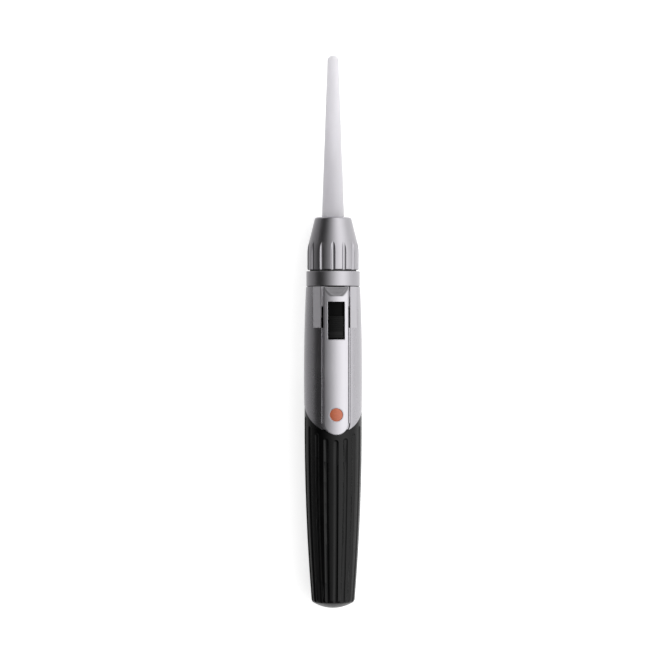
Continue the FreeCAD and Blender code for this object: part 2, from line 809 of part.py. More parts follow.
def cut_clip_seat(body):
    """Pin hole, spring notch and the slope that frees the clip's top."""
    hole = side_sketch(body)
    draw_circle(hole, size.pin_depth, pin_height, size.pin_radius + PRESS_GAP)
    pocket(body, hole, 2 * clip_inside, both_ways=True)
    notch = front_sketch(body, size.pin_depth - coil_radius - size.coil_wire - size.slip_gap)
    draw_box(notch, -notch_half_width, notch_half_width,
             pin_height - size.leg_length - size.side_gap, pin_height + size.leg_length + size.side_gap)
    pocket(body, notch, shell_radius, outwards=True)
    start = shell_top - size.relief_height
    slope = side_sketch(body)
    draw_outline(slope, [Corner(shell_side(start), start), Corner(shell_radius + 1, start),
                         Corner(shell_radius + 1, shell_top + 1),
                         Corner(shell_side(shell_top) - size.relief_depth, shell_top + 1),
                         Corner(shell_side(shell_top) - size.relief_depth, shell_top)])
    pocket(body, slope, 2 * clip_inside, both_ways=True)


def cut_stem_opening(body):
    sketch = front_sketch(body, strip_front)
    half_width = size.stem_half_width + 2 * size.side_gap
    draw_box(sketch, -half_width, half_width, stem_bottom - 2 * size.side_gap,
             stem_bottom + size.stem_length + size.button_travel + 2 * size.side_gap)
    pocket(body, sketch, shell_radius, outwards=True)


def make_flare_cutter():
    """Cutter for the slanted edge along the channel and the slots."""
    outside = channel_half_width + size.channel_chamfer - size.fit_gap
    low = clip_bottom - size.channel_margin

    def draw(sketch):
        draw_tongue(sketch, outside, low - size.channel_chamfer + size.fit_gap, shell_top + 4)
        draw_tongue(sketch, channel_half_width - size.channel_margin, low + size.channel_margin,
                    shell_top + 3)

    def lower_edge(edge):
        middle, lift = middle_of(edge)
        below = min(0, middle.z - (low + channel_half_width).value)
        return (abs(lift + size.channel_chamfer.value) < 0.02
                and abs(math.hypot(middle.x, below) - outside.value) < 0.05)

    body = curved_patch("flare_cutter", -size.channel_chamfer, 1.0, clip_bottom - 2, shell_top + 1,
                        draw)
    dress(body, "Chamfer", size.channel_chamfer, lower_edge)
    return body


def make_shell():
    """The chromed shell, with a shallow channel in which the clip lies."""
    body = new_body("shell_blank")
    low = edge_front - 1
    section = side_sketch(body, SEAM_SIDE)
    threads = thread_rings(mouth_bore, size.thread_depth, spigot_bottom, size.head_pitch,
                           HEAD_THREADS, upwards=False)
    draw_outline(section, [
        Corner(shell_bore, low),
        Corner(shell_side(low), low, (shell_radius - shell_arc, shell_middle)),
        Corner(shell_side(shell_top), shell_top),
        Corner(mouth_bore, shell_top)] + threads + [
        Corner(mouth_bore, mouth_floor),
        Corner(shell_bore, mouth_floor)])
    revolve(body, section)
    dress(body, "Chamfer", size.edge_chamfer, round_edge_at(shell_top, shell_side(shell_top)))
    cut_slanted_edge(body, above=False)
    cut_flats(body)
    cut_ear_slots(body)
    cut_stem_opening(body)
    cut_clip_seat(body)
    channel = curved_patch("channel_cutter", -size.channel_depth, 1.0, clip_bottom - 2, bed_top,
                           lambda sketch: draw_tongue(sketch, channel_half_width,
                                                      clip_bottom - size.channel_margin, bed_top + 2))
    flared = cut_away("flared_shell", body, make_flare_cutter())
    return cut_away("upper_shell", flared, channel)


# ------------------------------------------------------------------------ clip
def make_clip():
    """Sprung clip with ears on the pin, a window for the button and a seat for the badge."""
    outside = size.clip_gap + size.clip_thickness
    body = curved_patch("clip_blank", size.clip_gap, outside, clip_bottom - 1, clip_top,
                        lambda sketch: draw_tongue(sketch, size.clip_half_width, clip_bottom,
                                                   clip_top + 2))

    def outer_edge(edge):
        middle, lift = middle_of(edge)
        return lift > outside.value - 0.1 and middle.z < clip_top.value - 0.01

    dress(body, "Fillet", size.clip_edge_round, outer_edge)
    bevel_bottom = clip_top - size.bevel_length
    surface = shell_side(bevel_bottom, outside)
    slope = size.bevel_depth / size.bevel_length
    bevel = side_sketch(body)
    draw_outline(bevel, [Corner(surface + slope, bevel_bottom - 1),
                         Corner(surface - slope * (size.bevel_length + 1), clip_top + 1),
                         Corner(surface + 2, clip_top + 1), Corner(surface + 2, bevel_bottom - 1)])
    pocket(body, bevel, 4 * size.clip_half_width, both_ways=True)

    def bevel_edge(edge):
        middle, lift = middle_of(edge)
        low = abs(middle.z - bevel_bottom.value) < 1
        return low and lift > outside.value - 0.05 and abs(middle.x) < 1

    dress(body, "Fillet", size.bevel_round, bevel_edge)
    window = front_sketch(body)
    draw_box(window, -size.window_half_width, size.window_half_width, window_bottom, window_top)
    pocket(body, window, 2 * shell_radius, outwards=True)
    for right in (size.clip_half_width, -clip_inside):
        ear = side_sketch(body, right=right)
        draw_outline(ear, [
            Corner(size.pin_depth, pin_height + size.ear_radius, (size.pin_depth, pin_height)),
            Corner(size.pin_depth, pin_height - size.ear_radius),
            Corner(size.ear_reach, pin_height - size.ear_radius),
            Corner(size.ear_reach, pin_height + size.ear_radius)])
        pad(body, ear, size.ear_thickness)
    hole = side_sketch(body)
    draw_circle(hole, size.pin_depth, pin_height, size.pin_radius + size.fit_gap)
    pocket(body, hole, 4 * size.clip_half_width, both_ways=True)
    seat = make_badge("badge_seat", size.badge_radius + PRESS_GAP, 1.0)
    return cut_away("clip", body, seat)


def make_badge(name, radius, proud):
    """Round disc that follows the clip's face."""
    middle = edge_front + size.badge_height
    outside = size.clip_gap + size.clip_thickness
    return curved_patch(name, outside - size.badge_depth, outside + proud,
                        middle - radius - 1, middle + radius + 1,
                        lambda sketch: draw_circle(sketch, 0, middle, radius))


def make_clip_pin():
    pin = new_body("clip_pin")
    sketch = side_sketch(pin)
    draw_circle(sketch, size.pin_depth, pin_height, size.pin_radius)
    pad(pin, sketch, 2 * size.clip_half_width - size.slip_gap, both_ways=True)
    return pin


def make_clip_spring():
    """Torsion spring round the pin, with a leg at each end of its coil."""
    pitch = size.coil_pitch * size.coil_wire
    length = pitch * size.coil_turns
    coil = wire_coil("clip_spring_coil", coil_radius, size.coil_wire, pitch, length)
    pieces = [coil]
    for number, (height, up) in enumerate(((dim(0), -1), (length, 1))):
        leg = doc.addObject("Part::Cylinder", "clip_spring_leg_%d" % number)
        leg.setExpression("Radius", size.coil_wire.text)
        leg.setExpression("Height", size.leg_length.text)
        slope = math.radians(size.leg_slope.value)
        direction = Vector(math.sin(slope), up * math.cos(slope), 0)
        leg.Placement = Placement(Vector(coil_radius.value, 0, height.value),
                                  Rotation(Vector(0, 0, 1), direction))
        pieces.append(leg)
    spring = doc.addObject("Part::MultiFuse", "clip_spring")
    spring.Shapes = pieces
    spring.Label = "clip_spring"
    doc.recompute()
    across = Rotation(Vector(0, -1, 0), Vector(0, 0, -1), Vector(1, 0, 0), "ZXY")
    start = Vector(-length.value / 2, -size.pin_depth.value, pin_height.value)
    return spring, Placement(start, across)


# ---------------------------------------------------------------------- switch
def make_bed():
    """Curved plate behind the button, slotted for its stem."""
    half_width = size.window_half_width + size.bed_margin
    slot = size.stem_half_width + size.side_gap
    slot_bottom = stem_bottom - size.side_gap
    slot_top = stem_bottom + size.stem_length + size.button_travel + size.side_gap

    def draw(sketch):
        draw_box(sketch, -half_width, half_width, window_bottom - size.bed_margin, bed_top)
        draw_box(sketch, -slot, slot, slot_bottom, slot_top)

    return curved_patch("switch_bed", -size.channel_depth, size.bed_thickness - size.channel_depth,
                        window_bottom - size.bed_margin, bed_top, draw)


def make_button():
    """Ribbed button with the stem that reaches its slider."""
    body = new_body("switch_button")
    top = button_bottom + size.button_length
    half_width = size.window_half_width - size.button_side_gap
    section = side_sketch(body)
    draw_box(section, button_back, button_front, button_bottom, top)
    revolve(body, section, PATCH_SWEEP)
    surround = front_sketch(body)
    for left, right in ((-shell_radius, -half_width), (half_width, shell_radius)):
        draw_box(surround, left, right, button_bottom - 1, top + 1)
    pocket(body, surround, 2 * shell_radius, outwards=True)
    stem = side_sketch(body)
    draw_box(stem, carriage_front, button_back + size.fit_gap, stem_bottom,
             stem_bottom + size.stem_length)
    pad(body, stem, 2 * size.stem_half_width, both_ways=True)
    ribs = side_sketch(body)
    pitch = (size.button_length - size.lip_length) / size.rib_count
    for number in range(int(size.rib_count.value)):
        low = button_bottom + size.lip_length + pitch * number
        draw_box(ribs, button_front - size.rib_depth, button_front + 1, low, low + pitch / 2)
    pocket(body, ribs, 4 * half_width, both_ways=True)
    return body


def make_carriage():
    return front_block("switch_carriage", size.carriage_half_width, leaf_front, carriage_front,
                       carriage_bottom, carriage_bottom + size.carriage_length)


def make_leaf():
    """Contact leaf under the slider, with a raised nose that wipes the strip."""
    half = size.strip_thickness / 2
    low = carriage_bottom + size.side_gap
    middle = low + size.leaf_length / 2
    body = new_body("switch_contact")
    sketch = side_sketch(body)
    draw_outline(sketch, [
        Corner(leaf_front, low), Corner(leaf_front, low + size.leaf_length),
        Corner(leaf_front - half, low + size.leaf_length),
        Corner(leaf_front - half, middle + size.leaf_nose),
        Corner(leaf_back, middle + size.leaf_nose / 2),
        Corner(leaf_back, middle - size.leaf_nose / 2),
        Corner(leaf_front - half, middle - size.leaf_nose), Corner(leaf_front - half, low)])
    pad(body, sketch, 2 * (size.strip_half_width - size.leaf_inset), both_ways=True)
    return body


# ------------------------------------------------------------------------ head
def make_collar():
    """Head ring with the spigot that screws into the shell and the boss for the nose."""
    spigot = mouth_bore - size.slip_gap
    bore = size.socket_radius + PRESS_GAP
    into_shell = thread_rings(spigot, -size.thread_depth, spigot_bottom, size.head_pitch, HEAD_THREADS)
    into_nose = thread_rings(size.boss_radius, -size.thread_depth, nose_bottom, size.nose_pitch,
                             NOSE_THREADS)
    body = turned("collar", [Corner(bore, spigot_bottom), Corner(spigot, spigot_bottom)] + into_shell + [
        Corner(spigot, collar_bottom), Corner(collar_radius, collar_bottom),
        Corner(collar_radius, collar_top), Corner(size.boss_radius, collar_top)] + into_nose + [
        Corner(size.boss_radius, boss_top), Corner(bore, boss_top)])
    dress(body, "Chamfer", size.edge_chamfer,
          lambda edge: any(round_edge_at(height, collar_radius)(edge)
                           for height in (collar_bottom, collar_top)))
    return body


def make_socket():
    """Lamp socket: a tube with a lip under its insulating bush."""
    bore = size.socket_radius - size.socket_wall
    lip = bore - size.socket_lip_width
    floor = spigot_bottom + size.socket_lip
    return turned("lamp_socket", [
        Corner(lip, spigot_bottom), Corner(size.socket_radius, spigot_bottom),
        Corner(size.socket_radius, boss_top - size.fit_gap), Corner(bore, boss_top - size.fit_gap),
        Corner(bore, floor), Corner(lip, floor)])


def make_bush():
    """Insulating bush: a guide for the plunger, with room above for its flange and spring."""
    low = spigot_bottom + size.socket_lip
    outside = size.socket_radius - size.socket_wall - size.fit_gap
    guide = size.plunger_radius + size.slip_gap
    room = size.plunger_flange + size.slip_gap
    return turned("socket_insulator", [
        Corner(guide, low), Corner(outside, low), Corner(outside, bush_top), Corner(room, bush_top),
        Corner(room, low + size.bush_floor), Corner(guide, low + size.bush_floor)])


def make_plunger():
    low = cells_top + size.fit_gap
    return turned("contact_plunger", [
        Corner(0, low), Corner(size.plunger_radius, low), Corner(size.plunger_radius, flange_bottom),
        Corner(size.plunger_flange, flange_bottom), Corner(size.plunger_flange, flange_top),
        Corner(size.plunger_radius / 2, flange_top),
        Corner(size.plunger_radius / 2, flange_top + size.plunger_stroke),
        Corner(0, flange_top + size.plunger_stroke)])


def make_plunger_spring():
    low = flange_top + size.plunger_wire + size.fit_gap
    height = bush_top - size.plunger_wire - size.fit_gap - low
    spring = wire_coil("plunger_spring", size.plunger_radius, size.plunger_wire,
                       height / size.plunger_turns, height)
    return spring, Placement(Vector(0, 0, low.value), Rotation())


def make_lamp():
    """The lamp: a flanged metal base, a hollow glass bulb and a filament on two posts."""
    flange = size.socket_radius - size.socket_wall - size.fit_gap
    seat = bulb_bottom
    neck = flange - size.lamp_step
    step = lamp_top - size.lamp_flange
    base = turned("lamp_base", [
        Corner(0, bush_top), Corner(neck, bush_top), Corner(neck, step), Corner(flange, step),
        Corner(flange, lamp_top), Corner(size.bulb_radius + PRESS_GAP, lamp_top),
        Corner(size.bulb_radius + PRESS_GAP, seat), Corner(0, seat)])
    inside = size.bulb_radius - size.glass_wall
    crown = seat + size.bulb_height - size.bulb_radius
    bulb = turned("lamp_envelope", [
        Corner(inside, seat), Corner(size.bulb_radius, seat), Corner(size.bulb_radius, crown, (0, crown)),
        Corner(0, crown + size.bulb_radius), Corner(0, crown + inside, (0, crown), "right"),
        Corner(inside, crown)])
    filament = new_body("lamp_filament")
    posts = top_sketch(filament, seat)
    for side in (-1, 1):
        draw_circle(posts, side * size.filament_reach, 0, size.filament_wire)
    pad(filament, posts, crown - seat)
    wire = side_sketch(filament)
    draw_circle(wire, 0, crown, size.filament_wire)
    pad(filament, wire, 2 * size.filament_reach, both_ways=True)
    return [base, bulb, filament]


# ------------------------------------------------------------------------ nose
def make_nose():
    """Fluted cone with a threaded bore, a seat for the lens and a groove for the seal."""
    thread = size.boss_radius + size.slip_gap
    tip_bore = size.tip_root + 2 * size.slip_gap
    chamber = size.lens_radius + size.fit_gap
    thread_top = nose_bottom + size.nose_thread_depth
    shoulder_height = nose_bottom + size.nose_straight
    run = size.nose_blend * tangent(size.nose_taper / 2)
    top_radius = nose_radius - (nose_top - shoulder_height) * tangent(size.nose_taper)
    seal_low = seal_middle - size.seal_wire
    seal_high = seal_middle + size.seal_wire
    groove = tip_bore + 2 * size.seal_wire
    threads = thread_rings(thread, size.thread_depth, nose_bottom, size.nose_pitch, NOSE_THREADS,
                           upwards=False)
    body = turned("nose", [
        Corner(thread, nose_bottom), Corner(nose_radius, nose_bottom),
        Corner(nose_radius, shoulder_height - run, (nose_radius - size.nose_blend, shoulder_height - run)),
        Corner(nose_radius - run * sine(size.nose_taper), shoulder_height + run * cosine(size.nose_taper)),
        Corner(top_radius, nose_top), Corner(tip_bore, nose_top),
        Corner(tip_bore, seal_high), Corner(groove, seal_high),
        Corner(groove, seal_low), Corner(tip_bore, seal_low),
        Corner(tip_bore, lens_seat), Corner(chamber, lens_seat),
        Corner(chamber, thread_top), Corner(thread, thread_top)] + threads)
    dress(body, "Fillet", size.nose_top_round, round_edge_at(nose_top, top_radius))
    dress(body, "Fillet", size.nose_foot_round, round_edge_at(nose_bottom, nose_radius))
    flute = top_sketch(body, nose_bottom - 1)
    place = nose_radius - size.nose_flute_depth + size.nose_flute_radius
    draw_circle(flute, place * sine(size.nose_turn), -place * cosine(size.nose_turn),
                size.nose_flute_radius)
    cut = pocket(body, flute, size.nose_height / 2 + 2, outwards=True)
    repeat(body, cut, size.nose_flutes)
    return body


def make_lens():
    """Lens with two bulging faces and a flat rim, and the ring that holds it."""
    rim = size.lens_radius - LENS_RIM
    low = lens_seat - size.lens_edge
    arc = bulge_radius(rim, size.lens_bulge)
    lens = turned("lens", [
        Corner(0, low - size.lens_bulge, (0, low - size.lens_bulge + arc)), Corner(rim, low),
        Corner(size.lens_radius, low), Corner(size.lens_radius, lens_seat),
        Corner(rim, lens_seat, (0, lens_seat + size.lens_bulge - arc)),
        Corner(0, lens_seat + size.lens_bulge)])
    holder = ring("lens_retainer", rim, size.lens_radius, low - size.retainer_height, low)
    return [lens, holder]


def make_seal():
    """O-ring in the nose, just touching the tip."""
    seal = doc.addObject("Part::Torus", "tip_seal")
    seal.setExpression("Radius1", (size.tip_root + 2 * size.slip_gap + size.seal_wire).text)
    seal.setExpression("Radius2", size.seal_wire.text)
    seal.Label = "tip_seal"
    doc.recompute()
    return seal, Placement(Vector(0, 0, seal_middle.value), Rotation())


def make_tip():
    """Tapered light guide with a plain plug that slips into the nose."""
    plug = size.tip_root + 1.5 * size.slip_gap
    low = nose_top - size.tip_plug
    body = turned("light_tip", [
        Corner(0, low), Corner(plug, low), Corner(plug, nose_top), Corner(size.tip_root, nose_top),
        Corner(size.tip_end, tip_top), Corner(0, tip_top)])
    dress(body, "Fillet", size.tip_round, round_edge_at(tip_top))
    return body


# ------------------------------------------------------------------- the model
def lay_down(piece, upright=Placement()):
    """Places a finished sub-part with the whole model, lying on its back."""
    piece.Placement = LYING.multiply(upright)


LYING = Placement(Vector(0, -tip_top.value / 2, shell_radius.value), Rotation(Vector(1, 0, 0), -90))


def make_all():
    pieces = [make_grip(), make_spring_cup(), make_battery_spring(), make_battery_tube(),
              make_contact_strip(), make_shell(), make_clip(), make_clip_pin(), make_clip_spring(),
              make_badge("badge_disc", size.badge_radius, size.badge_proud), make_bed(), make_button(),
              make_carriage(), make_leaf(), make_collar(), make_socket(), make_bush(), make_plunger(),
              make_plunger_spring(), make_nose(), make_seal(), make_tip()]
    pieces += make_cell("lower", cell_bottom)
    pieces += make_cell("upper", cell_bottom + size.cell_length)
    pieces += make_lamp()
    pieces += make_lens()
    pieces.append(ring("head_gasket", mouth_bore, collar_radius - size.gasket_inset,
                       shell_top + GASKET_GAP, collar_bottom - GASKET_GAP))
    pieces.append(ring("neck_gasket", size.boss_radius + size.slip_gap, size.neck_radius,
                       collar_top + GASKET_GAP, nose_bottom - GASKET_GAP))
    return pieces


def check_document():
    """Stops if any object failed to recompute."""
    doc.recompute()
    for item in doc.Objects:
        if "Invalid" in item.State or "Error" in item.State:
            raise RuntimeError("%s did not recompute" % item.Label)


def write(pieces):
    """Lays the sub-parts down and writes one file each."""
    for piece in pieces:
        item, upright = piece if isinstance(piece, tuple) else (piece, Placement())
        lay_down(item, upright)
        shape = item.Shape
        if shape.isNull() or not shape.isValid() or len(shape.Solids) != 1:
            raise RuntimeError("%s is not one valid solid" % item.Label)
        shape.exportStep("parts/%s.step" % item.Label)
        print("%-20s %8.1f mm3" % (item.Label, shape.Volume))


made = make_all()
check_document()
write(made)
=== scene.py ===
"""Finished model of a pen-sized diagnostic light, with its finishes, light and camera."""

import logging
import math
from dataclasses import dataclass
from enum import Enum

import bmesh
import bpy
from mathutils import Matrix, Vector


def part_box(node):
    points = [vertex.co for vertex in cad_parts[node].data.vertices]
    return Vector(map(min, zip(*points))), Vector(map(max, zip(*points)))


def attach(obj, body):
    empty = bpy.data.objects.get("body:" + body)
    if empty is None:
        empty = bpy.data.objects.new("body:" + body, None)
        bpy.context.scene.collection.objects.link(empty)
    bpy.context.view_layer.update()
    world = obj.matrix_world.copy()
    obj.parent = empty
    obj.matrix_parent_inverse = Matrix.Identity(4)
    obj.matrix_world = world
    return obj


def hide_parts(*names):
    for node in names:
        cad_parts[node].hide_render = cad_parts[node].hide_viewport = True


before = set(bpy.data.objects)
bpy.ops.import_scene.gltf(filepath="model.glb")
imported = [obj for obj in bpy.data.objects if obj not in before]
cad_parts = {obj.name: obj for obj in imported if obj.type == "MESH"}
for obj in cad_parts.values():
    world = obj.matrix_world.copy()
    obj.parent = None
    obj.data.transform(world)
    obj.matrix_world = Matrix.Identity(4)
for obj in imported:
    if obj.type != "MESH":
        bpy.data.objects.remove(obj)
bpy.context.view_layer.update()

MM = 0.001
TOUCH = 0.000001
EDGE_SAMPLES = 12
SHARP_ANGLE = math.radians(35.0)
AXIS = (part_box("collar")[0].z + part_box("collar")[1].z) / 2.0

log = logging.getLogger("diagnostic_light")

Colour = tuple[float, float, float]
Span = tuple[float, float]
Socket = bpy.types.NodeSocket


def grey(value: float, tint: Colour = (1.0, 1.0, 1.0)) -> Colour:
    """Gives a linear colour.

    Args:
        value: Share of the light that comes back.
        tint: Factors on red, green and blue.

    Returns:
        The three linear channels.
    """
    return tuple(value * part for part in tint)


class Recipe:
    """Node tree of one material, with a short call for each node that the finishes share."""

    def __init__(self, name: str) -> None:
        """Starts a material that has only its shader.

        Args:
            name: Name of the material.
        """
        self.material = bpy.data.materials.new(name)
        self.material.use_nodes = True
        self.tree = self.material.node_tree
        self.shader = self.tree.nodes["Principled BSDF"]
        self.place = self.tree.nodes.new("ShaderNodeTexCoord").outputs["Object"]

    def set(self, **constants: float | tuple) -> None:
        """Sets constants on the shader's own sockets.

        Args:
            constants: Values by socket name, with an underscore for each space.
        """
        for name, value in constants.items():
            socket = self.shader.inputs[name.replace("_", " ")]
            is_colour = isinstance(value, tuple) and len(value) == 3 and socket.type == "RGBA"
            socket.default_value = (*value, 1.0) if is_colour else value

    def link(self, source: Socket, name: str) -> None:
        """Links a pattern to one of the shader's sockets.

        Args:
            source: Output that varies over the surface.
            name: Name of the shader's socket.
        """
        self.tree.links.new(source, self.shader.inputs[name])

    def node(
        self, kind: str, inputs: dict[str | int, object], **options: object
    ) -> bpy.types.Node:
        """Adds a node.

        Args:
            kind: Type of the node.
            inputs: Constants or outputs, by the name or number of the input.
            options: Properties of the node.

        Returns:
            The node.
        """
        made = self.tree.nodes.new(kind)
        for name, value in options.items():
            setattr(made, name, value)
        for name, value in inputs.items():
            if isinstance(value, bpy.types.NodeSocket):
                self.tree.links.new(value, made.inputs[name])
            else:
                made.inputs[name].default_value = value
        return made

    def stretched(self, stretch: Colour) -> Socket:
        """Gives the piece's own coordinates, scaled differently along each axis.

        Args:
            stretch: Factor on each coordinate.

        Returns:
            The scaled coordinates.
        """
        if stretch == (1.0, 1.0, 1.0):
            return self.place
        return self.node("ShaderNodeMapping", {"Vector": self.place, "Scale": stretch}).outputs[0]

    def noise(
        self, grain: float, detail: float = 2.0, stretch: Colour = (1.0, 1.0, 1.0)
    ) -> Socket:
        """Gives a smooth random pattern between 0 and 1.

        Args:
            grain: Size of a patch, in metres.
            detail: Number of finer patterns on top.
            stretch: Factor on each coordinate.

        Returns:
            The pattern.
        """
        inputs = {"Vector": self.stretched(stretch), "Scale": 1.0 / grain, "Detail": detail}
        return self.node("ShaderNodeTexNoise", inputs).outputs["Fac"]

    def fit(
        self, value: Socket, low: float, high: float, start: float = 0.35, end: float = 0.65
    ) -> Socket:
        """Maps a pattern from one range to another.

        Args:
            value: The pattern.
            low: Result at the start of its range.
            high: Result at the end of its range.
            start: Start of its range.
            end: End of its range.

        Returns:
            The mapped pattern.
        """
        ends = {"From Min": start, "From Max": end, "To Min": low, "To Max": high}
        return self.node("ShaderNodeMapRange", {"Value": value, **ends}).outputs[0]

    def math(self, operation: str, *values: Socket | float) -> Socket:
        """Combines patterns.

        Args:
            operation: Name of the Math node's operation.
            values: Outputs or constants, in order.

        Returns:
            The result.
        """
        inputs = dict(enumerate(values))
        return self.node("ShaderNodeMath", inputs, operation=operation).outputs[0]

    def mix(self, factor: Socket, first: Colour | Socket, second: Colour | Socket) -> Socket:
        """Mixes two colours.

        Args:
            factor: Pattern that is 0 for the first colour and 1 for the second.
            first: Linear colour or output.
            second: Linear colour or output.

        Returns:
            The mixed colour.
        """
        made = self.node("ShaderNodeMix", {"Factor": factor}, data_type="RGBA")
        for place, colour in ((6, first), (7, second)):
            if isinstance(colour, bpy.types.NodeSocket):
                self.tree.links.new(colour, made.inputs[place])
            else:
                made.inputs[place].default_value = (*colour, 1.0)
        return made.outputs[2]

    def bump(self, height: Socket, depth: float, under: Socket | None = None) -> Socket:
        """Raises the surface by a pattern.

        Args:
            height: The pattern.
            depth: Height of the pattern at 1, in metres.
            under: Normal that this one is laid on.

        Returns:
            The bumped normal.
        """
        inputs: dict[str | int, object] = {"Height": height, "Distance": depth, "Strength": 1.0}
        if under is not None:
            inputs["Normal"] = under
        return self.node("ShaderNodeBump", inputs).outputs[0]

    def eased_edges(self, radius: float) -> Socket:
        """Gives the normal of a surface whose sharp edges are a little worn.

        Args:
            radius: Radius of the worn edges, in metres, or 0 for crisp ones.

        Returns:
            The eased normal.
        """
        if not radius:
            return self.tree.nodes.new("ShaderNodeNewGeometry").outputs["Normal"]
        return self.node("ShaderNodeBevel", {"Radius": radius}, samples=EDGE_SAMPLES).outputs[0]


class Zone(Enum):
    """Part of a plated piece that is left matt."""

    NONE = "none"
    FLATS = "flats beside the clip"
    THUMB = "thumb bevel at the clip's top"


@dataclass(frozen=True)
class SatinMetal:
    """Plated and blasted metal, with a fine grain and faint handling marks."""

    name: str
    shine: float = 0.42
    shine_range: Span = (0.98, 1.02)
    tint: Colour = (0.997, 0.974, 1.030)
    roughness: float = 0.27
    rough_range: Span = (0.93, 1.08)
    cloud_rough: Span = (-0.004, 0.005)
    grain: float = 0.00016
    grain_depth: float = 0.0000002
    edge: float = 0.00022
    turned: bool = False
    turned_grain: float = 6.0
    turned_stretch: Colour = (1.0, 14.0, 1.0)
    smudge: float = 0.011
    cloud: float = 0.0016
    matt: Zone = Zone.NONE
    matt_shine: float = 0.43
    matt_roughness: float = 0.60
    dullness: float = 0.85
    flat_inner: Span = (0.00555, 0.00560)
    flat_outer: Span = (0.00815, 0.00825)
    flat_foot: Span = (0.00150, 0.00154)
    flat_front: Span = (0.0110, 0.0115)
    thumb_skin: Span = (-0.00001, 0.00004)
    thumb_depth: Span = (-0.0004, -0.0002)
    thumb_fade: float = 0.0002

    def zone(self, recipe: Recipe) -> Socket:
        """Finds the matt zone on the piece.

        Args:
            recipe: The material that is being made.

        Returns:
            A pattern that is 1 in the zone and 0 elsewhere.
        """
        across, along, up = recipe.node("ShaderNodeSeparateXYZ", {0: recipe.place}).outputs
        if self.matt is Zone.THUMB:
            slope = Clip.bevel_slope()
            lean = recipe.math("MULTIPLY_ADD", along, slope, up)
            level = Clip.bevel_start_height() + slope * Clip.bevel_start()
            on_bevel = recipe.fit(lean, 1.0, 0.0, *(level + edge for edge in self.thumb_skin))
            start = Clip.bevel_start()
            above = recipe.fit(along, 0.0, 1.0, start - self.thumb_fade, start)
            lower = recipe.fit(lean, 0.0, 1.0, *(level + edge for edge in self.thumb_depth))
            return recipe.math("MULTIPLY", recipe.math("MULTIPLY", on_bevel, above), lower)
        outwards = recipe.math("ABSOLUTE", across)
        inner = recipe.fit(outwards, 0.0, 1.0, *self.flat_inner)
        outer = recipe.fit(outwards, 1.0, 0.0, *self.flat_outer)
        high = recipe.fit(along, 0.0, 1.0, *self.flat_foot)
        front = recipe.fit(up, 0.0, 1.0, *self.flat_front)
        sides = recipe.math("MULTIPLY", inner, outer)
        return recipe.math("MULTIPLY", sides, recipe.math("MULTIPLY", high, front))

    def make(self) -> bpy.types.Material:
        """Makes the material.

        Returns:
            The material.
        """
        recipe = Recipe(self.name)
        recipe.set(Metallic=1.0)
        smudge = recipe.noise(self.smudge, 3.0)
        cloud = recipe.noise(self.cloud, 2.0)
        base = recipe.mix(
            recipe.fit(smudge, 0.0, 1.0),
            *(grey(self.shine * share, self.tint) for share in self.shine_range),
        )
        rough = recipe.math(
            "ADD",
            recipe.fit(smudge, *(self.roughness * share for share in self.rough_range)),
            recipe.fit(cloud, *self.cloud_rough),
        )
        if self.matt is not Zone.NONE:
            zone = self.zone(recipe)
            base = recipe.mix(zone, base, grey(self.matt_shine, self.tint))
            matt = recipe.math("SUBTRACT", self.matt_roughness, rough)
            rough = recipe.math("MULTIPLY_ADD", zone, matt, rough)
            recipe.link(recipe.fit(zone, 1.0, 1.0 - self.dullness, 0.0, 1.0), "Metallic")
        recipe.link(base, "Base Color")
        recipe.link(rough, "Roughness")
        if self.turned:
            grain = recipe.noise(self.grain * self.turned_grain, 2.0, self.turned_stretch)
        else:
            grain = recipe.noise(self.grain)
        recipe.link(
            recipe.bump(grain, self.grain_depth, recipe.eased_edges(self.edge)), "Normal"
        )
        return recipe.material


@dataclass(frozen=True)
class MouldedPlastic:
    """Hard moulded plastic, with a fine spark-eroded texture and a few dull rubbed places."""

    name: str
    colour: Colour = (0.0006, 0.0006, 0.0007)
    rubbed: Colour = (0.0014, 0.0013, 0.0015)
    roughness: float = 0.27
    grain: float = 0.00018
    grain_depth: float = 0.0000010
    edge: float = 0.00010
    specular: float = 0.20
    rubbed_size: float = 0.009
    rubbed_share: Span = (0.46, 0.72)
    rubbed_roughness: float = 0.07
    fine_rough: Span = (-0.02, 0.02)

    def make(self) -> bpy.types.Material:
        """Makes the material.

        Returns:
            The material.
        """
        recipe = Recipe(self.name)
        recipe.set(Specular_IOR_Level=self.specular)
        worn = recipe.fit(recipe.noise(self.rubbed_size, 4.0), 0.0, 1.0, *self.rubbed_share)
        recipe.link(recipe.mix(worn, self.colour, self.rubbed), "Base Color")
        fine = recipe.noise(self.grain, 3.0)
        rough = recipe.math(
            "ADD",
            recipe.fit(
                worn, self.roughness, self.roughness + self.rubbed_roughness, 0.0, 1.0
            ),
            recipe.fit(fine, *self.fine_rough),
        )
        recipe.link(rough, "Roughness")
        recipe.link(
            recipe.bump(fine, self.grain_depth, recipe.eased_edges(self.edge)), "Normal"
        )
        return recipe.material


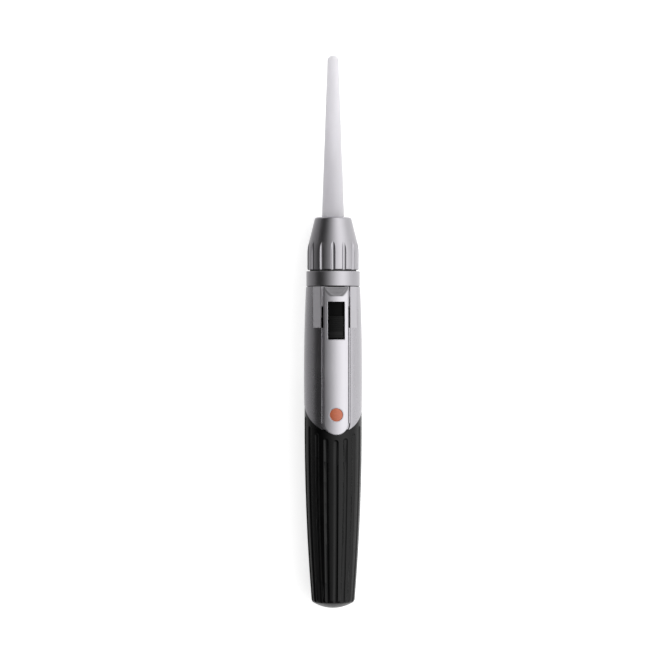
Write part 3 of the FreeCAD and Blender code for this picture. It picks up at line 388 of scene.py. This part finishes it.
@dataclass(frozen=True)
class LightGuide:
    """Milky clear plastic that carries light, faintly hazy along its length, with a faint painted
    glow that lifts its shading though the lamp inside is unlit.
    """

    name: str = "light_guide_plastic"
    colour: Colour = (0.62, 0.608, 0.637)
    roughness: float = 0.40
    depth: float = 0.012
    painted_glow: float = 0.14
    clearness: float = 0.45
    reflection: float = 0.08
    hazy: float = 0.975
    rough_range: Span = (0.9, 1.12)
    haze: float = 0.004
    haze_stretch: Colour = (1.0, 0.25, 1.0)
    drawn: float = 0.0009
    drawn_depth: float = 0.000002
    drawn_stretch: Colour = (1.0, 0.12, 1.0)

    def make(self) -> bpy.types.Material:
        """Makes the material.

        Returns:
            The material.
        """
        recipe = Recipe(self.name)
        recipe.set(IOR=1.49, Transmission_Weight=self.clearness)
        recipe.set(Specular_IOR_Level=self.reflection)
        recipe.set(Subsurface_Weight=1.0, Subsurface_Radius=(1.0, 1.0, 1.0))
        recipe.set(Subsurface_Scale=self.depth)
        # Painted glow: the guide gives off a faint light in its own colour, which evens out its
        # shaded side while the lamp inside is unlit.
        recipe.set(Emission_Color=self.colour, Emission_Strength=self.painted_glow)
        haze = recipe.noise(self.haze, 3.0, self.haze_stretch)
        darker = grey(self.hazy, self.colour)
        recipe.link(recipe.mix(recipe.fit(haze, 0.0, 1.0), darker, self.colour), "Base Color")
        rough = recipe.fit(haze, *(self.roughness * share for share in self.rough_range))
        recipe.link(rough, "Roughness")
        drawn = recipe.noise(self.drawn, 2.0, self.drawn_stretch)
        recipe.link(recipe.bump(drawn, self.drawn_depth), "Normal")
        return recipe.material


@dataclass(frozen=True)
class Enamel:
    """Fired enamel under a clear gloss, with a slight orange peel."""

    name: str
    colour: Colour = (0.50, 0.105, 0.030)
    darkest: float = 0.88
    rough_range: Span = (0.36, 0.46)
    shading: float = 0.0007
    speckle: float = 0.0005
    peel: float = 0.0004
    peel_depth: float = 0.000004

    def make(self) -> bpy.types.Material:
        """Makes the material.

        Returns:
            The material.
        """
        recipe = Recipe(self.name)
        recipe.set(Coat_Weight=0.5, Coat_Roughness=0.08)
        shade = recipe.fit(recipe.noise(self.shading, 3.0), 0.0, 1.0)
        recipe.link(recipe.mix(shade, grey(self.darkest, self.colour), self.colour), "Base Color")
        recipe.link(recipe.fit(recipe.noise(self.speckle), *self.rough_range), "Roughness")
        recipe.link(recipe.bump(recipe.noise(self.peel), self.peel_depth), "Normal")
        return recipe.material


@dataclass(frozen=True)
class BareMetal:
    """Drawn or turned metal of the works inside, with a light tarnish."""

    name: str
    bright: Colour
    dull: Colour
    roughness: float = 0.3
    rough_range: Span = (0.85, 1.25)
    tarnish: float = 0.003
    drawn: float = 0.0006
    drawn_depth: float = 0.000002
    drawn_stretch: Colour = (1.0, 8.0, 1.0)
    edge: float = 0.00008

    def make(self) -> bpy.types.Material:
        """Makes the material.

        Returns:
            The material.
        """
        recipe = Recipe(self.name)
        recipe.set(Metallic=1.0)
        tarnish = recipe.fit(recipe.noise(self.tarnish, 4.0), 0.0, 1.0)
        recipe.link(recipe.mix(tarnish, self.bright, self.dull), "Base Color")
        ends = (self.roughness * share for share in self.rough_range)
        recipe.link(recipe.fit(tarnish, *ends, 0.0, 1.0), "Roughness")
        drawn = recipe.noise(self.drawn, 2.0, self.drawn_stretch)
        recipe.link(
            recipe.bump(drawn, self.drawn_depth, recipe.eased_edges(self.edge)), "Normal"
        )
        return recipe.material


@dataclass(frozen=True)
class Rubber:
    """Moulded black rubber with a dusty bloom."""

    name: str
    colour: Colour = (0.014, 0.014, 0.014)
    bloom: Colour = (0.03, 0.03, 0.031)
    rough_range: Span = (0.55, 0.75)
    dust: float = 0.0025
    grain: float = 0.0002
    grain_depth: float = 0.000005

    def make(self) -> bpy.types.Material:
        """Makes the material.

        Returns:
            The material.
        """
        recipe = Recipe(self.name)
        dusty = recipe.fit(recipe.noise(self.dust, 4.0), 0.0, 1.0)
        recipe.link(recipe.mix(dusty, self.colour, self.bloom), "Base Color")
        recipe.link(recipe.fit(dusty, *self.rough_range, 0.0, 1.0), "Roughness")
        recipe.link(recipe.bump(recipe.noise(self.grain), self.grain_depth), "Normal")
        return recipe.material


@dataclass(frozen=True)
class Glass:
    """Clear blown or ground glass with a little haze."""

    name: str
    colour: Colour = (0.97, 0.98, 0.98)
    rough_range: Span = (0.015, 0.06)
    haze: float = 0.002
    wave: float = 0.0015
    wave_depth: float = 0.000002

    def make(self) -> bpy.types.Material:
        """Makes the material.

        Returns:
            The material.
        """
        recipe = Recipe(self.name)
        recipe.set(Base_Color=self.colour, IOR=1.52, Transmission_Weight=1.0)
        recipe.link(recipe.fit(recipe.noise(self.haze, 3.0), *self.rough_range), "Roughness")
        recipe.link(recipe.bump(recipe.noise(self.wave), self.wave_depth), "Normal")
        return recipe.material


@dataclass(frozen=True)
class Studio:
    """Floor, soft light from a graded sky, a grey cloth for the reflections, and the camera."""

    frame_width: float = 0.2494
    lens: float = 200.0
    sensor: float = 36.0
    turn: float = math.radians(5.9)
    look_at: Colour = (-0.00022, -0.00026, 0.01095)
    floor_side: float = 6.0
    floor_glow: float = 0.74
    floor_mottle: float = 0.4
    floor_shades: Span = (0.54, 0.56)
    brightest: float = 2.2
    backdrop: float = 0.88
    ends_from: float = -0.85
    ends_to: float = -0.35
    ends_dim: float = 0.12
    cloth_from: float = 0.009
    cloth_to: float = 2.0
    sight: Span = (0.01, 20.0)
    cloth_length: float = 0.9
    cloth_height: float = 0.0004
    cloth_near: float = 1.10
    cloth_far: float = 0.24
    tones: tuple[tuple[float, float], ...] = (
        (-105.0, 0.34), (-92.0, 0.24), (-82.0, 0.09), (-74.0, 0.035), (-54.0, 0.04),
        (-40.0, 0.17), (-22.0, 0.52), (-4.0, 1.06), (10.0, 1.56), (24.0, 1.97),
        (38.0, 2.10), (54.0, 1.80), (74.0, 1.38), (95.0, 1.05),
    )

    def floor(self) -> None:
        """Lays a plain pale floor under the object."""
        recipe = Recipe("floor_paper")
        recipe.set(
            Emission_Color=grey(1.0), Emission_Strength=self.floor_glow, Roughness=0.9,
            Specular_IOR_Level=0.2,
        )
        tone = recipe.fit(recipe.noise(self.floor_mottle), 0.0, 1.0)
        recipe.link(recipe.mix(tone, *(grey(shade) for shade in self.floor_shades)), "Base Color")
        mesh = bmesh.new()
        bmesh.ops.create_grid(mesh, x_segments=2, y_segments=2, size=self.floor_side / 2.0)
        as_object("floor", mesh, recipe.material)

    def cloth(self) -> None:
        """Lays a glowing grey cloth on the left, which only shows in the reflections."""
        recipe = Recipe("cloth_grey")
        recipe.set(Base_Color=grey(0.0), Roughness=1.0, Specular_IOR_Level=0.0)
        recipe.set(Emission_Strength=1.0)
        across = recipe.node("ShaderNodeSeparateXYZ", {0: recipe.place}).outputs[0]
        nearness = recipe.math("DIVIDE", -self.cloth_from, across)
        recipe.link(
            recipe.mix(
                recipe.fit(nearness, 0.0, 1.0, 0.0, 1.0), grey(self.cloth_far),
                grey(self.cloth_near),
            ),
            "Emission Color",
        )
        mesh = bmesh.new()
        bmesh.ops.create_grid(mesh, x_segments=1, y_segments=1, size=0.5)
        width = self.cloth_to - self.cloth_from
        bmesh.ops.scale(mesh, vec=(width, self.cloth_length, 1.0), verts=mesh.verts)
        middle = (-(self.cloth_from + self.cloth_to) / 2.0, 0.0, self.cloth_height)
        bmesh.ops.translate(mesh, vec=middle, verts=mesh.verts)
        piece = as_object("cloth", mesh, recipe.material)
        piece.visible_camera = piece.visible_diffuse = piece.visible_shadow = False
        piece.visible_transmission = False

    def sky(self) -> None:
        """Lights the object from a sky that is dark on its left and brightest on its right."""
        world = bpy.data.worlds.new("sky")
        world.use_nodes = True
        tree = world.node_tree
        background = tree.nodes["Background"]
        place = tree.nodes.new("ShaderNodeTexCoord").outputs["Generated"]
        split = tree.nodes.new("ShaderNodeSeparateXYZ")
        tree.links.new(place, split.inputs[0])
        angle = tree.nodes.new("ShaderNodeMath")
        angle.operation = "ARCTAN2"
        tree.links.new(split.outputs["X"], angle.inputs[0])
        tree.links.new(split.outputs["Z"], angle.inputs[1])
        share = tree.nodes.new("ShaderNodeMapRange")
        share.inputs["From Min"].default_value = -math.pi
        share.inputs["From Max"].default_value = math.pi
        tree.links.new(angle.outputs[0], share.inputs["Value"])
        ramp = tree.nodes.new("ShaderNodeValToRGB")
        ramp.color_ramp.interpolation = "EASE"
        stops = ramp.color_ramp.elements
        while len(stops) < len(self.tones):
            stops.new(0.5)
        for stop, (degrees, _) in zip(stops, self.tones):
            stop.position = degrees / 360.0 + 0.5
        for stop, (_, tone) in zip(stops, self.tones):
            stop.color = (*grey(tone / self.brightest), 1.0)
        tree.links.new(share.outputs[0], ramp.inputs[0])
        tree.links.new(ramp.outputs[0], background.inputs["Color"])
        ends = tree.nodes.new("ShaderNodeMapRange")
        ends.inputs["From Min"].default_value = self.ends_from
        ends.inputs["From Max"].default_value = self.ends_to
        ends.inputs["To Min"].default_value = self.ends_dim * self.brightest
        ends.inputs["To Max"].default_value = self.brightest
        tree.links.new(split.outputs["Y"], ends.inputs["Value"])
        tree.links.new(ends.outputs[0], background.inputs["Strength"])
        plain = tree.nodes.new("ShaderNodeBackground")
        plain.inputs["Color"].default_value = (*grey(self.backdrop), 1.0)
        seen = tree.nodes.new("ShaderNodeLightPath").outputs["Is Camera Ray"]
        choice = tree.nodes.new("ShaderNodeMixShader")
        tree.links.new(seen, choice.inputs[0])
        tree.links.new(background.outputs[0], choice.inputs[1])
        tree.links.new(plain.outputs[0], choice.inputs[2])
        tree.links.new(choice.outputs[0], tree.nodes["World Output"].inputs["Surface"])
        bpy.context.scene.world = world

    def camera(self) -> None:
        """Sets up the camera, which looks down on the object from a little to its left."""
        lens = bpy.data.cameras.new("camera")
        lens.lens, lens.sensor_width = self.lens, self.sensor
        lens.clip_start, lens.clip_end = self.sight
        camera = bpy.data.objects.new("camera", lens)
        bpy.context.scene.collection.objects.link(camera)
        distance = self.frame_width * self.lens / self.sensor
        tilt = Matrix.Rotation(-self.turn, 4, "Y")
        away = tilt @ Vector((0.0, 0.0, distance))
        camera.matrix_world = Matrix.Translation(Vector(self.look_at) + away) @ tilt
        bpy.context.scene.camera = camera

    def build(self) -> None:
        """Sets up the floor, the light and the camera."""
        bpy.context.scene.view_settings.view_transform = "Standard"
        self.sky()
        self.floor()
        self.cloth()
        self.camera()
        log.info("studio: sky, floor, cloth and camera")


def as_object(
    name: str, mesh: bmesh.types.BMesh, material: bpy.types.Material
) -> bpy.types.Object:
    """Makes an object at the origin from a finished mesh.

    Args:
        name: Name of the piece.
        mesh: The mesh, which is freed.
        material: Its material.

    Returns:
        The object.
    """
    data = bpy.data.meshes.new(name)
    for face in mesh.faces:
        face.smooth = True
    mesh.to_mesh(data)
    mesh.free()
    data.materials.append(material)
    piece = bpy.data.objects.new(name, data)
    bpy.context.scene.collection.objects.link(piece)
    return piece


def finished(
    name: str, mesh: bmesh.types.BMesh, material: bpy.types.Material, body: str, slot: str,
    *nodes: str,
) -> bpy.types.Object:
    """Makes a piece that rides on a body, and that may stand for CAD nodes.

    Args:
        name: Name of the piece.
        mesh: Its finished mesh.
        material: Its material.
        body: Body that it moves with.
        slot: Material slot that its finish comes from; not used.
        nodes: CAD nodes that it stands for.

    Returns:
        The piece.
    """
    triangles = sum(len(face.verts) - 2 for face in mesh.faces)
    piece = as_object(name, mesh, material)
    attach(piece, body)
    if nodes:
        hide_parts(*nodes)
    log.info("%s: %d triangles, %s, on %s", name, triangles, material.name, body)
    return piece


def dress(material: bpy.types.Material, *nodes: str) -> None:
    """Gives CAD nodes a material.

    Args:
        material: The material.
        nodes: Names of the nodes.
    """
    for name in nodes:
        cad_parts[name].material_slots[0].material = material
        log.info("%s: %s", name, material.name)


def lathe(profile: list[tuple[float, float]], steps: int) -> bmesh.types.BMesh:
    """Turns a profile about the handle's axis.

    Args:
        profile: Places along the axis and radii, in order.
        steps: Facets round the piece.

    Returns:
        The turned mesh.
    """
    mesh = bmesh.new()
    verts = [mesh.verts.new((0.0, along, AXIS + radius)) for along, radius in profile]
    edges = [mesh.edges.new(pair) for pair in zip(verts, verts[1:])]
    bmesh.ops.spin(
        mesh, geom=[*verts, *edges], cent=(0.0, 0.0, AXIS), axis=(0.0, 1.0, 0.0),
        dvec=(0.0, 0.0, 0.0), angle=math.tau, steps=steps, use_merge=True,
    )
    bmesh.ops.remove_doubles(mesh, verts=mesh.verts, dist=TOUCH)
    bmesh.ops.recalc_face_normals(mesh, faces=mesh.faces)
    return mesh


def round_off(mesh: bmesh.types.BMesh, edges: list, radius: float, segments: int = 2) -> None:
    """Rounds edges.

    Args:
        mesh: The mesh.
        edges: The edges.
        radius: Radius of the round.
        segments: Facets across the round.
    """
    bmesh.ops.bevel(
        mesh, geom=edges, offset=radius, offset_type="OFFSET", segments=segments, profile=0.5,
        affect="EDGES", material=-1, clamp_overlap=True,
    )


def sharp(mesh: bmesh.types.BMesh, least: float = SHARP_ANGLE) -> list:
    """Finds the sharp edges of a mesh.

    Args:
        mesh: The mesh.
        least: Least angle between two faces.

    Returns:
        The edges.
    """
    shared = (edge for edge in mesh.edges if len(edge.link_faces) == 2)
    return [edge for edge in shared if edge.calc_face_angle() > least]


@dataclass(frozen=True)
class Clip:
    """Pocket clip with its enamel badge, its window's bead and the pips on its thumb bevel."""

    bevel_length: float = 3.4 * MM
    bevel_depth: float = 1.0 * MM
    lift: float = 1.2 * MM
    shell_arc: float = 682.0 * MM
    widest: float = -15.5 * MM
    badge_radius: float = 2.5 * MM
    badge_dome: float = 0.14 * MM
    badge_rim: float = 0.13 * MM
    bead_width: float = 0.26 * MM
    bead_height: float = 0.10 * MM
    window_half_width: float = 3.17 * MM
    window_low: float = -2.9 * MM
    window_high: float = 11.2 * MM
    bead_round: float = 0.9
    bead_cuts: tuple[int, int] = (12, 24)
    pip_radius: float = 0.15 * MM
    pip_space: float = 0.56 * MM
    pip_flatness: float = 0.42
    pip_start: float = 0.7
    pip_stop: float = 1.5
    pip_row: float = 0.866
    pip_reach: float = 4.2 * MM
    pip_room: float = 0.04 * MM
    pip_half_row: int = 8
    facets: int = 72
    rim_facets: int = 12

    @staticmethod
    def surface(across: float, along: float, lift: float | None = None) -> float:
        """Gives the height of the clip's outer face, or of another face that follows the shell.

        Args:
            across: Place across the clip.
            along: Place along the handle.
            lift: Height over the shell, if it isn't the clip's.

        Returns:
            The height above the floor.
        """
        lift = Clip.lift if lift is None else lift
        side = AXIS + lift - (along - Clip.widest) ** 2 / (2.0 * Clip.shell_arc)
        return AXIS + math.sqrt(side * side - across * across)

    @staticmethod
    def bevel_start() -> float:
        """Gives the place along the handle where the thumb bevel starts, in the middle."""
        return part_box("clip")[1].y - Clip.bevel_length

    @staticmethod
    def bevel_slope() -> float:
        """Gives the fall of the thumb bevel per unit of its length."""
        return Clip.bevel_depth / Clip.bevel_length

    @staticmethod
    def bevel_start_height() -> float:
        """Gives the height of the clip's face where the thumb bevel starts."""
        return Clip.surface(0.0, Clip.bevel_start())

    def lay(self, mesh: bmesh.types.BMesh) -> None:
        """Bends a flat mesh, drawn at height zero, onto the clip's outer face.

        Args:
            mesh: The mesh.
        """
        for vert in mesh.verts:
            vert.co.z += self.surface(vert.co.x, vert.co.y)

    def badge(self, enamel: bpy.types.Material, metal: bpy.types.Material) -> None:
        """Sets a domed enamel disc in a fine metal rim.

        Args:
            enamel: Material of the disc.
            metal: Material of the rim.
        """
        low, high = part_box("badge_disc")
        middle = Vector((0.0, (low.y + high.y) / 2.0, 0.0))
        disc = bmesh.new()
        bmesh.ops.create_uvsphere(
            disc, u_segments=self.facets, v_segments=self.facets // 3, radius=self.badge_radius
        )
        bmesh.ops.scale(
            disc, vec=(1.0, 1.0, 2.0 * self.badge_dome / self.badge_radius), verts=disc.verts
        )
        bmesh.ops.translate(disc, vec=middle - Vector((0, 0, self.badge_dome)), verts=disc.verts)
        self.lay(disc)
        finished("badge_enamel", disc, enamel, "clip", "orange_enamel", "badge_disc")
        rim = bmesh.new()
        made = bmesh.ops.create_circle(rim, segments=self.rim_facets, radius=self.badge_rim)
        bmesh.ops.rotate(
            rim, cent=(0, 0, 0), matrix=Matrix.Rotation(math.radians(90.0), 3, "X"),
            verts=made["verts"],
        )
        bmesh.ops.translate(
            rim, vec=middle + Vector((self.badge_radius + self.badge_rim / 2.0, 0, 0)),
            verts=made["verts"],
        )
        bmesh.ops.spin(
            rim, geom=[*rim.verts, *rim.edges], cent=middle, axis=(0, 0, 1), dvec=(0, 0, 0),
            angle=math.tau, steps=self.facets, use_merge=True,
        )
        bmesh.ops.remove_doubles(rim, verts=rim.verts, dist=TOUCH)
        bmesh.ops.recalc_face_normals(rim, faces=rim.faces)
        self.lay(rim)
        finished("badge_rim", rim, metal, "clip", "satin_chrome")

    def bead(self, metal: bpy.types.Material) -> None:
        """Runs a rounded bead round the window.

        Args:
            metal: Material of the bead.
        """
        mesh = bmesh.new()
        across, along = self.bead_cuts
        bmesh.ops.create_grid(mesh, x_segments=across, y_segments=along, size=0.5)
        width = 2.0 * self.window_half_width
        length = self.window_high - self.window_low
        bmesh.ops.scale(mesh, vec=(width, length, 1.0), verts=mesh.verts)
        middle = (0.0, (self.window_low + self.window_high) / 2.0, 0.0)
        bmesh.ops.translate(mesh, vec=middle, verts=mesh.verts)
        rim = [edge for edge in mesh.edges if edge.is_boundary]
        inner = set(mesh.faces)
        outer = bmesh.ops.extrude_edge_only(mesh, edges=rim)
        grown = [item for item in outer["geom"] if isinstance(item, bmesh.types.BMVert)]
        for vert in grown:
            vert.co.x += math.copysign(self.bead_width, vert.co.x) * (
                abs(vert.co.x) > self.window_half_width - TOUCH
            )
            vert.co.y += math.copysign(self.bead_width, vert.co.y - middle[1]) * (
                abs(vert.co.y - middle[1]) > length / 2.0 - TOUCH
            )
        bmesh.ops.delete(mesh, geom=list(inner), context="FACES")
        raised = bmesh.ops.extrude_face_region(mesh, geom=list(mesh.faces), use_keep_orig=True)
        lifted = [item for item in raised["geom"] if isinstance(item, bmesh.types.BMVert)]
        for vert in lifted:
            vert.co.z += self.bead_height
        for vert in set(mesh.verts) - set(lifted):
            vert.co.z -= self.bead_height
        bmesh.ops.recalc_face_normals(mesh, faces=mesh.faces)
        top = [
            edge for edge in sharp(mesh) if all(vert.co.z > 0.0 for vert in edge.verts)
        ]
        round_off(mesh, top, self.bead_height * self.bead_round, 3)
        self.lay(mesh)
        finished("window_bead", mesh, metal, "clip", "satin_chrome")

    def pips(self, metal: bpy.types.Material) -> None:
        """Raises rows of fine pips on the thumb bevel.

        Args:
            metal: Material of the pips.
        """
        mesh = bmesh.new()
        lean = Matrix.Rotation(-math.atan(self.bevel_slope()), 4, "X")
        start, top = self.bevel_start(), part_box("clip")[1].y
        start_height = self.bevel_start_height()
        row, along = 0, start + self.pip_space * self.pip_start
        while along < top - self.pip_radius * self.pip_stop:
            height = start_height - self.bevel_slope() * (along - start)
            shift = self.pip_space / 2.0 * (row % 2)
            for number in range(-self.pip_half_row, self.pip_half_row + 1):
                across = number * self.pip_space + shift
                room = self.surface(abs(across) + self.pip_radius, along) - height
                if abs(across) > self.pip_reach or room < self.pip_room:
                    continue
                place = Matrix.Translation((across, along, height)) @ lean
                bmesh.ops.create_icosphere(
                    mesh, subdivisions=2, radius=self.pip_radius,
                    matrix=place @ Matrix.Diagonal((1.0, 1.0, self.pip_flatness, 1.0)),
                )
            along += self.pip_space * self.pip_row
            row += 1
        finished("thumb_pips", mesh, metal, "clip", "satin_chrome")

    def build(self, metal: bpy.types.Material, dark: bpy.types.Material) -> None:
        """Dresses the clip and adds its pieces.

        Args:
            metal: Bright finish of its bead and rim.
            dark: Dark finish of its pips.
        """
        satin = SatinMetal(
            "satin_clip", shine=0.45, roughness=0.33, edge=0.0004, matt=Zone.THUMB,
            matt_shine=0.15, matt_roughness=0.45,
        )
        dress(satin.make(), "clip")
        self.badge(Enamel("badge_enamel_glaze").make(), metal)
        self.bead(metal)
        self.pips(dark)


@dataclass(frozen=True)
class Switch:
    """Ribbed slide button in the clip's window."""

    back: float = 10.87 * MM
    front: float = 11.62 * MM
    rib_depth: float = 0.30 * MM
    rib_count: int = 8
    ridge: float = 0.80 * MM
    plain: float = 1.40 * MM
    half_width: float = 2.95 * MM
    edge: float = 0.055 * MM
    stem_side: float = 2.3 * MM
    stem_place: float = 0.65
    stem_gap: float = 0.05 * MM
    ridge_top: Span = (0.35, 0.80)
    rib_foot: float = 0.44
    rib_top: Span = (0.56, 0.90)
    facets: int = 14

    def profile(self, low: float, high: float) -> list[tuple[float, float]]:
        """Draws the button's section along the handle.

        Args:
            low: Its lower end.
            high: Its upper end.

        Returns:
            Places along the handle and radii.
        """
        valley = self.front - self.rib_depth
        start = low + self.ridge + self.plain
        pitch = (high - start) / self.rib_count
        points = [(low, self.back), (low, self.front - self.edge)]
        points += [(low + self.ridge * share, self.front) for share in self.ridge_top]
        points += [(low + self.ridge, valley)]
        for number in range(self.rib_count):
            foot = start + pitch * number
            points += [(foot + self.rib_foot * pitch, valley)]
            points += [(foot + share * pitch, self.front) for share in self.rib_top]
            points += [(foot + pitch, valley)]
        points[-1] = (high, self.front - self.edge)
        return [*points, (high, self.back)]

    def build(self) -> None:
        """Builds the button and dresses the plate and the slider behind it."""
        plastic = MouldedPlastic("switch_plastic", roughness=0.34, specular=0.16).make()
        low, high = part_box("switch_button")
        mesh = bmesh.new()
        sweep = 2.0 * math.asin(self.half_width / self.front)
        verts = [
            mesh.verts.new((0.0, along, AXIS + radius))
            for along, radius in self.profile(low.y, high.y)
        ]
        bmesh.ops.rotate(
            mesh, cent=(0, 0, AXIS), matrix=Matrix.Rotation(-sweep / 2.0, 3, "Y"), verts=verts
        )
        face = mesh.faces.new(verts)
        bmesh.ops.spin(
            mesh, geom=[face], cent=(0, 0, AXIS), axis=(0, 1, 0), dvec=(0, 0, 0), angle=sweep,
            steps=self.facets,
        )
        bmesh.ops.remove_doubles(mesh, verts=mesh.verts, dist=TOUCH)
        bmesh.ops.holes_fill(mesh, edges=mesh.edges, sides=0)
        bmesh.ops.recalc_face_normals(mesh, faces=mesh.faces)
        round_off(mesh, sharp(mesh), self.edge, 2)
        stem = bmesh.ops.create_cube(mesh, size=self.stem_side)["verts"]
        height = low.z + self.stem_side / 2.0 + self.stem_gap
        place = (0.0, low.y + self.stem_side * self.stem_place, height)
        bmesh.ops.translate(mesh, vec=place, verts=stem)
        finished(
            "switch_ribbed_button", mesh, plastic, "switch", "black_plastic", "switch_button"
        )
        plate = MouldedPlastic("switch_plate_plastic", roughness=0.5, specular=0.06)
        dress(plate.make(), "switch_bed", "switch_carriage")


@dataclass(frozen=True)
class Tip:
    """Tapered light guide with a rounded end."""

    root: float = 4.2 * MM
    end: float = 2.05 * MM
    end_round: float = 1.6 * MM
    plug: float = 4.34 * MM
    plug_face: float = 0.6
    end_face: float = 0.2
    facets: int = 128
    round_facets: int = 10

    def build(self) -> None:
        """Builds the light guide."""
        low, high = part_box("light_tip")
        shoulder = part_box("nose")[1].y
        mesh = lathe([
            (low.y, 0.0), (low.y, self.plug * self.plug_face), (low.y, self.plug),
            (shoulder, self.plug), (shoulder, self.root), (high.y, self.end),
            (high.y, self.end * self.end_face), (high.y, 0.0),
        ], self.facets)
        rim = [
            edge for edge in sharp(mesh)
            if all(vert.co.y > high.y - TOUCH for vert in edge.verts)
        ]
        round_off(mesh, rim, self.end_round, self.round_facets)
        finished("light_guide", mesh, LightGuide().make(), "tip", "light_guide", "light_tip")


@dataclass(frozen=True)
class Handle:
    """Chromed shell with a bead along each side of the clip's channel, and the fluted grip."""

    bead_place: float = 5.15 * MM
    bead_radius: float = 0.20 * MM
    bead_low: float = -34.2 * MM
    bead_high: float = 1.45 * MM
    bead_corner: float = math.radians(60.0)
    bead_sunk: float = 0.45
    bead_round: float = 0.7
    facets: int = 16
    cuts: int = 24

    def beads(self, metal: bpy.types.Material) -> None:
        """Runs a rounded bead along each side of the clip's channel.

        Args:
            metal: Material of the beads.
        """
        mesh = bmesh.new()
        length = self.bead_high - self.bead_low
        middle = (self.bead_high + self.bead_low) / 2.0
        for side in (-1.0, 1.0):
            place = Matrix.Translation((side * self.bead_place, middle, 0.0))
            bmesh.ops.create_cone(
                mesh, cap_ends=True, segments=self.facets, radius1=self.bead_radius,
                radius2=self.bead_radius, depth=length,
                matrix=place @ Matrix.Rotation(math.radians(90.0), 4, "X"),
            )
        ends = sharp(mesh, self.bead_corner)
        round_off(mesh, ends, self.bead_radius * self.bead_round, 3)
        for number in range(1, self.cuts):
            along = self.bead_low + length * number / self.cuts
            bmesh.ops.bisect_plane(
                mesh, geom=[*mesh.verts, *mesh.edges, *mesh.faces], plane_co=(0, along, 0),
                plane_no=(0, 1, 0),
            )
        sunk = self.bead_radius * self.bead_sunk
        for vert in mesh.verts:
            vert.co.z += Clip.surface(self.bead_place, vert.co.y, 0.0) - sunk
        finished("channel_beads", mesh, metal, "handle", "satin_chrome")

    def build(self, metal: bpy.types.Material) -> None:
        """Dresses the shell and the grip and adds the beads.

        Args:
            metal: Bright finish of the beads.
        """
        shell = SatinMetal("satin_shell", shine=0.39, edge=0.0, matt=Zone.FLATS)
        dress(shell.make(), "upper_shell")
        dress(MouldedPlastic("grip_plastic", specular=0.23).make(), "grip_sleeve")
        self.beads(metal)


@dataclass(frozen=True)
class Head:
    """Turned collar and nose cone with their gaskets."""

    def build(self) -> None:
        """Dresses the collar, the nose and the gaskets."""
        turned = SatinMetal("satin_turned", shine=0.365, roughness=0.30, turned=True).make()
        dress(turned, "collar", "nose")
        dress(Rubber("black_rubber").make(), "head_gasket", "neck_gasket", "tip_seal")


@dataclass(frozen=True)
class Works:
    """Cells, springs, contacts, lamp and lens."""

    def build(self) -> None:
        """Dresses all that is inside."""
        brass = BareMetal("brass", (0.62, 0.44, 0.19), (0.42, 0.29, 0.12)).make()
        dress(
            brass, "contact_strip", "spring_cup", "switch_contact", "lamp_socket", "lamp_base",
            "contact_plunger", "lens_retainer",
        )
        steel = BareMetal("spring_steel", (0.56, 0.57, 0.58), (0.40, 0.40, 0.41)).make()
        dress(
            steel, "battery_spring", "clip_pin", "clip_spring", "cell_lower", "cell_upper",
            "plunger_spring", "lamp_filament",
        )
        dress(Glass("clear_glass_hazed").make(), "lens", "lamp_envelope")
        tube = MouldedPlastic("tube_plastic_grey", (0.30, 0.30, 0.29), (0.36, 0.36, 0.34))
        dress(tube.make(), "battery_tube", "socket_insulator")
        film = MouldedPlastic(
            "cell_jacket_film", (0.010, 0.012, 0.016), (0.016, 0.018, 0.022), roughness=0.22
        )
        dress(film.make(), "cell_lower_jacket", "cell_upper_jacket")


def main() -> None:
    """Builds the scene and logs each piece."""
    logging.basicConfig(level=logging.INFO, format="%(name)s: %(message)s")
    Studio().build()
    bright = SatinMetal("satin_bright", shine=0.55, roughness=0.20).make()
    dark = SatinMetal("satin_dark", shine=0.22, roughness=0.38).make()
    Handle().build(bright)
    Clip().build(bright, dark)
    Switch().build()
    Head().build()
    Tip().build()
    Works().build()


if __name__ == "__main__":
    main()
    bpy.context.view_layer.update()
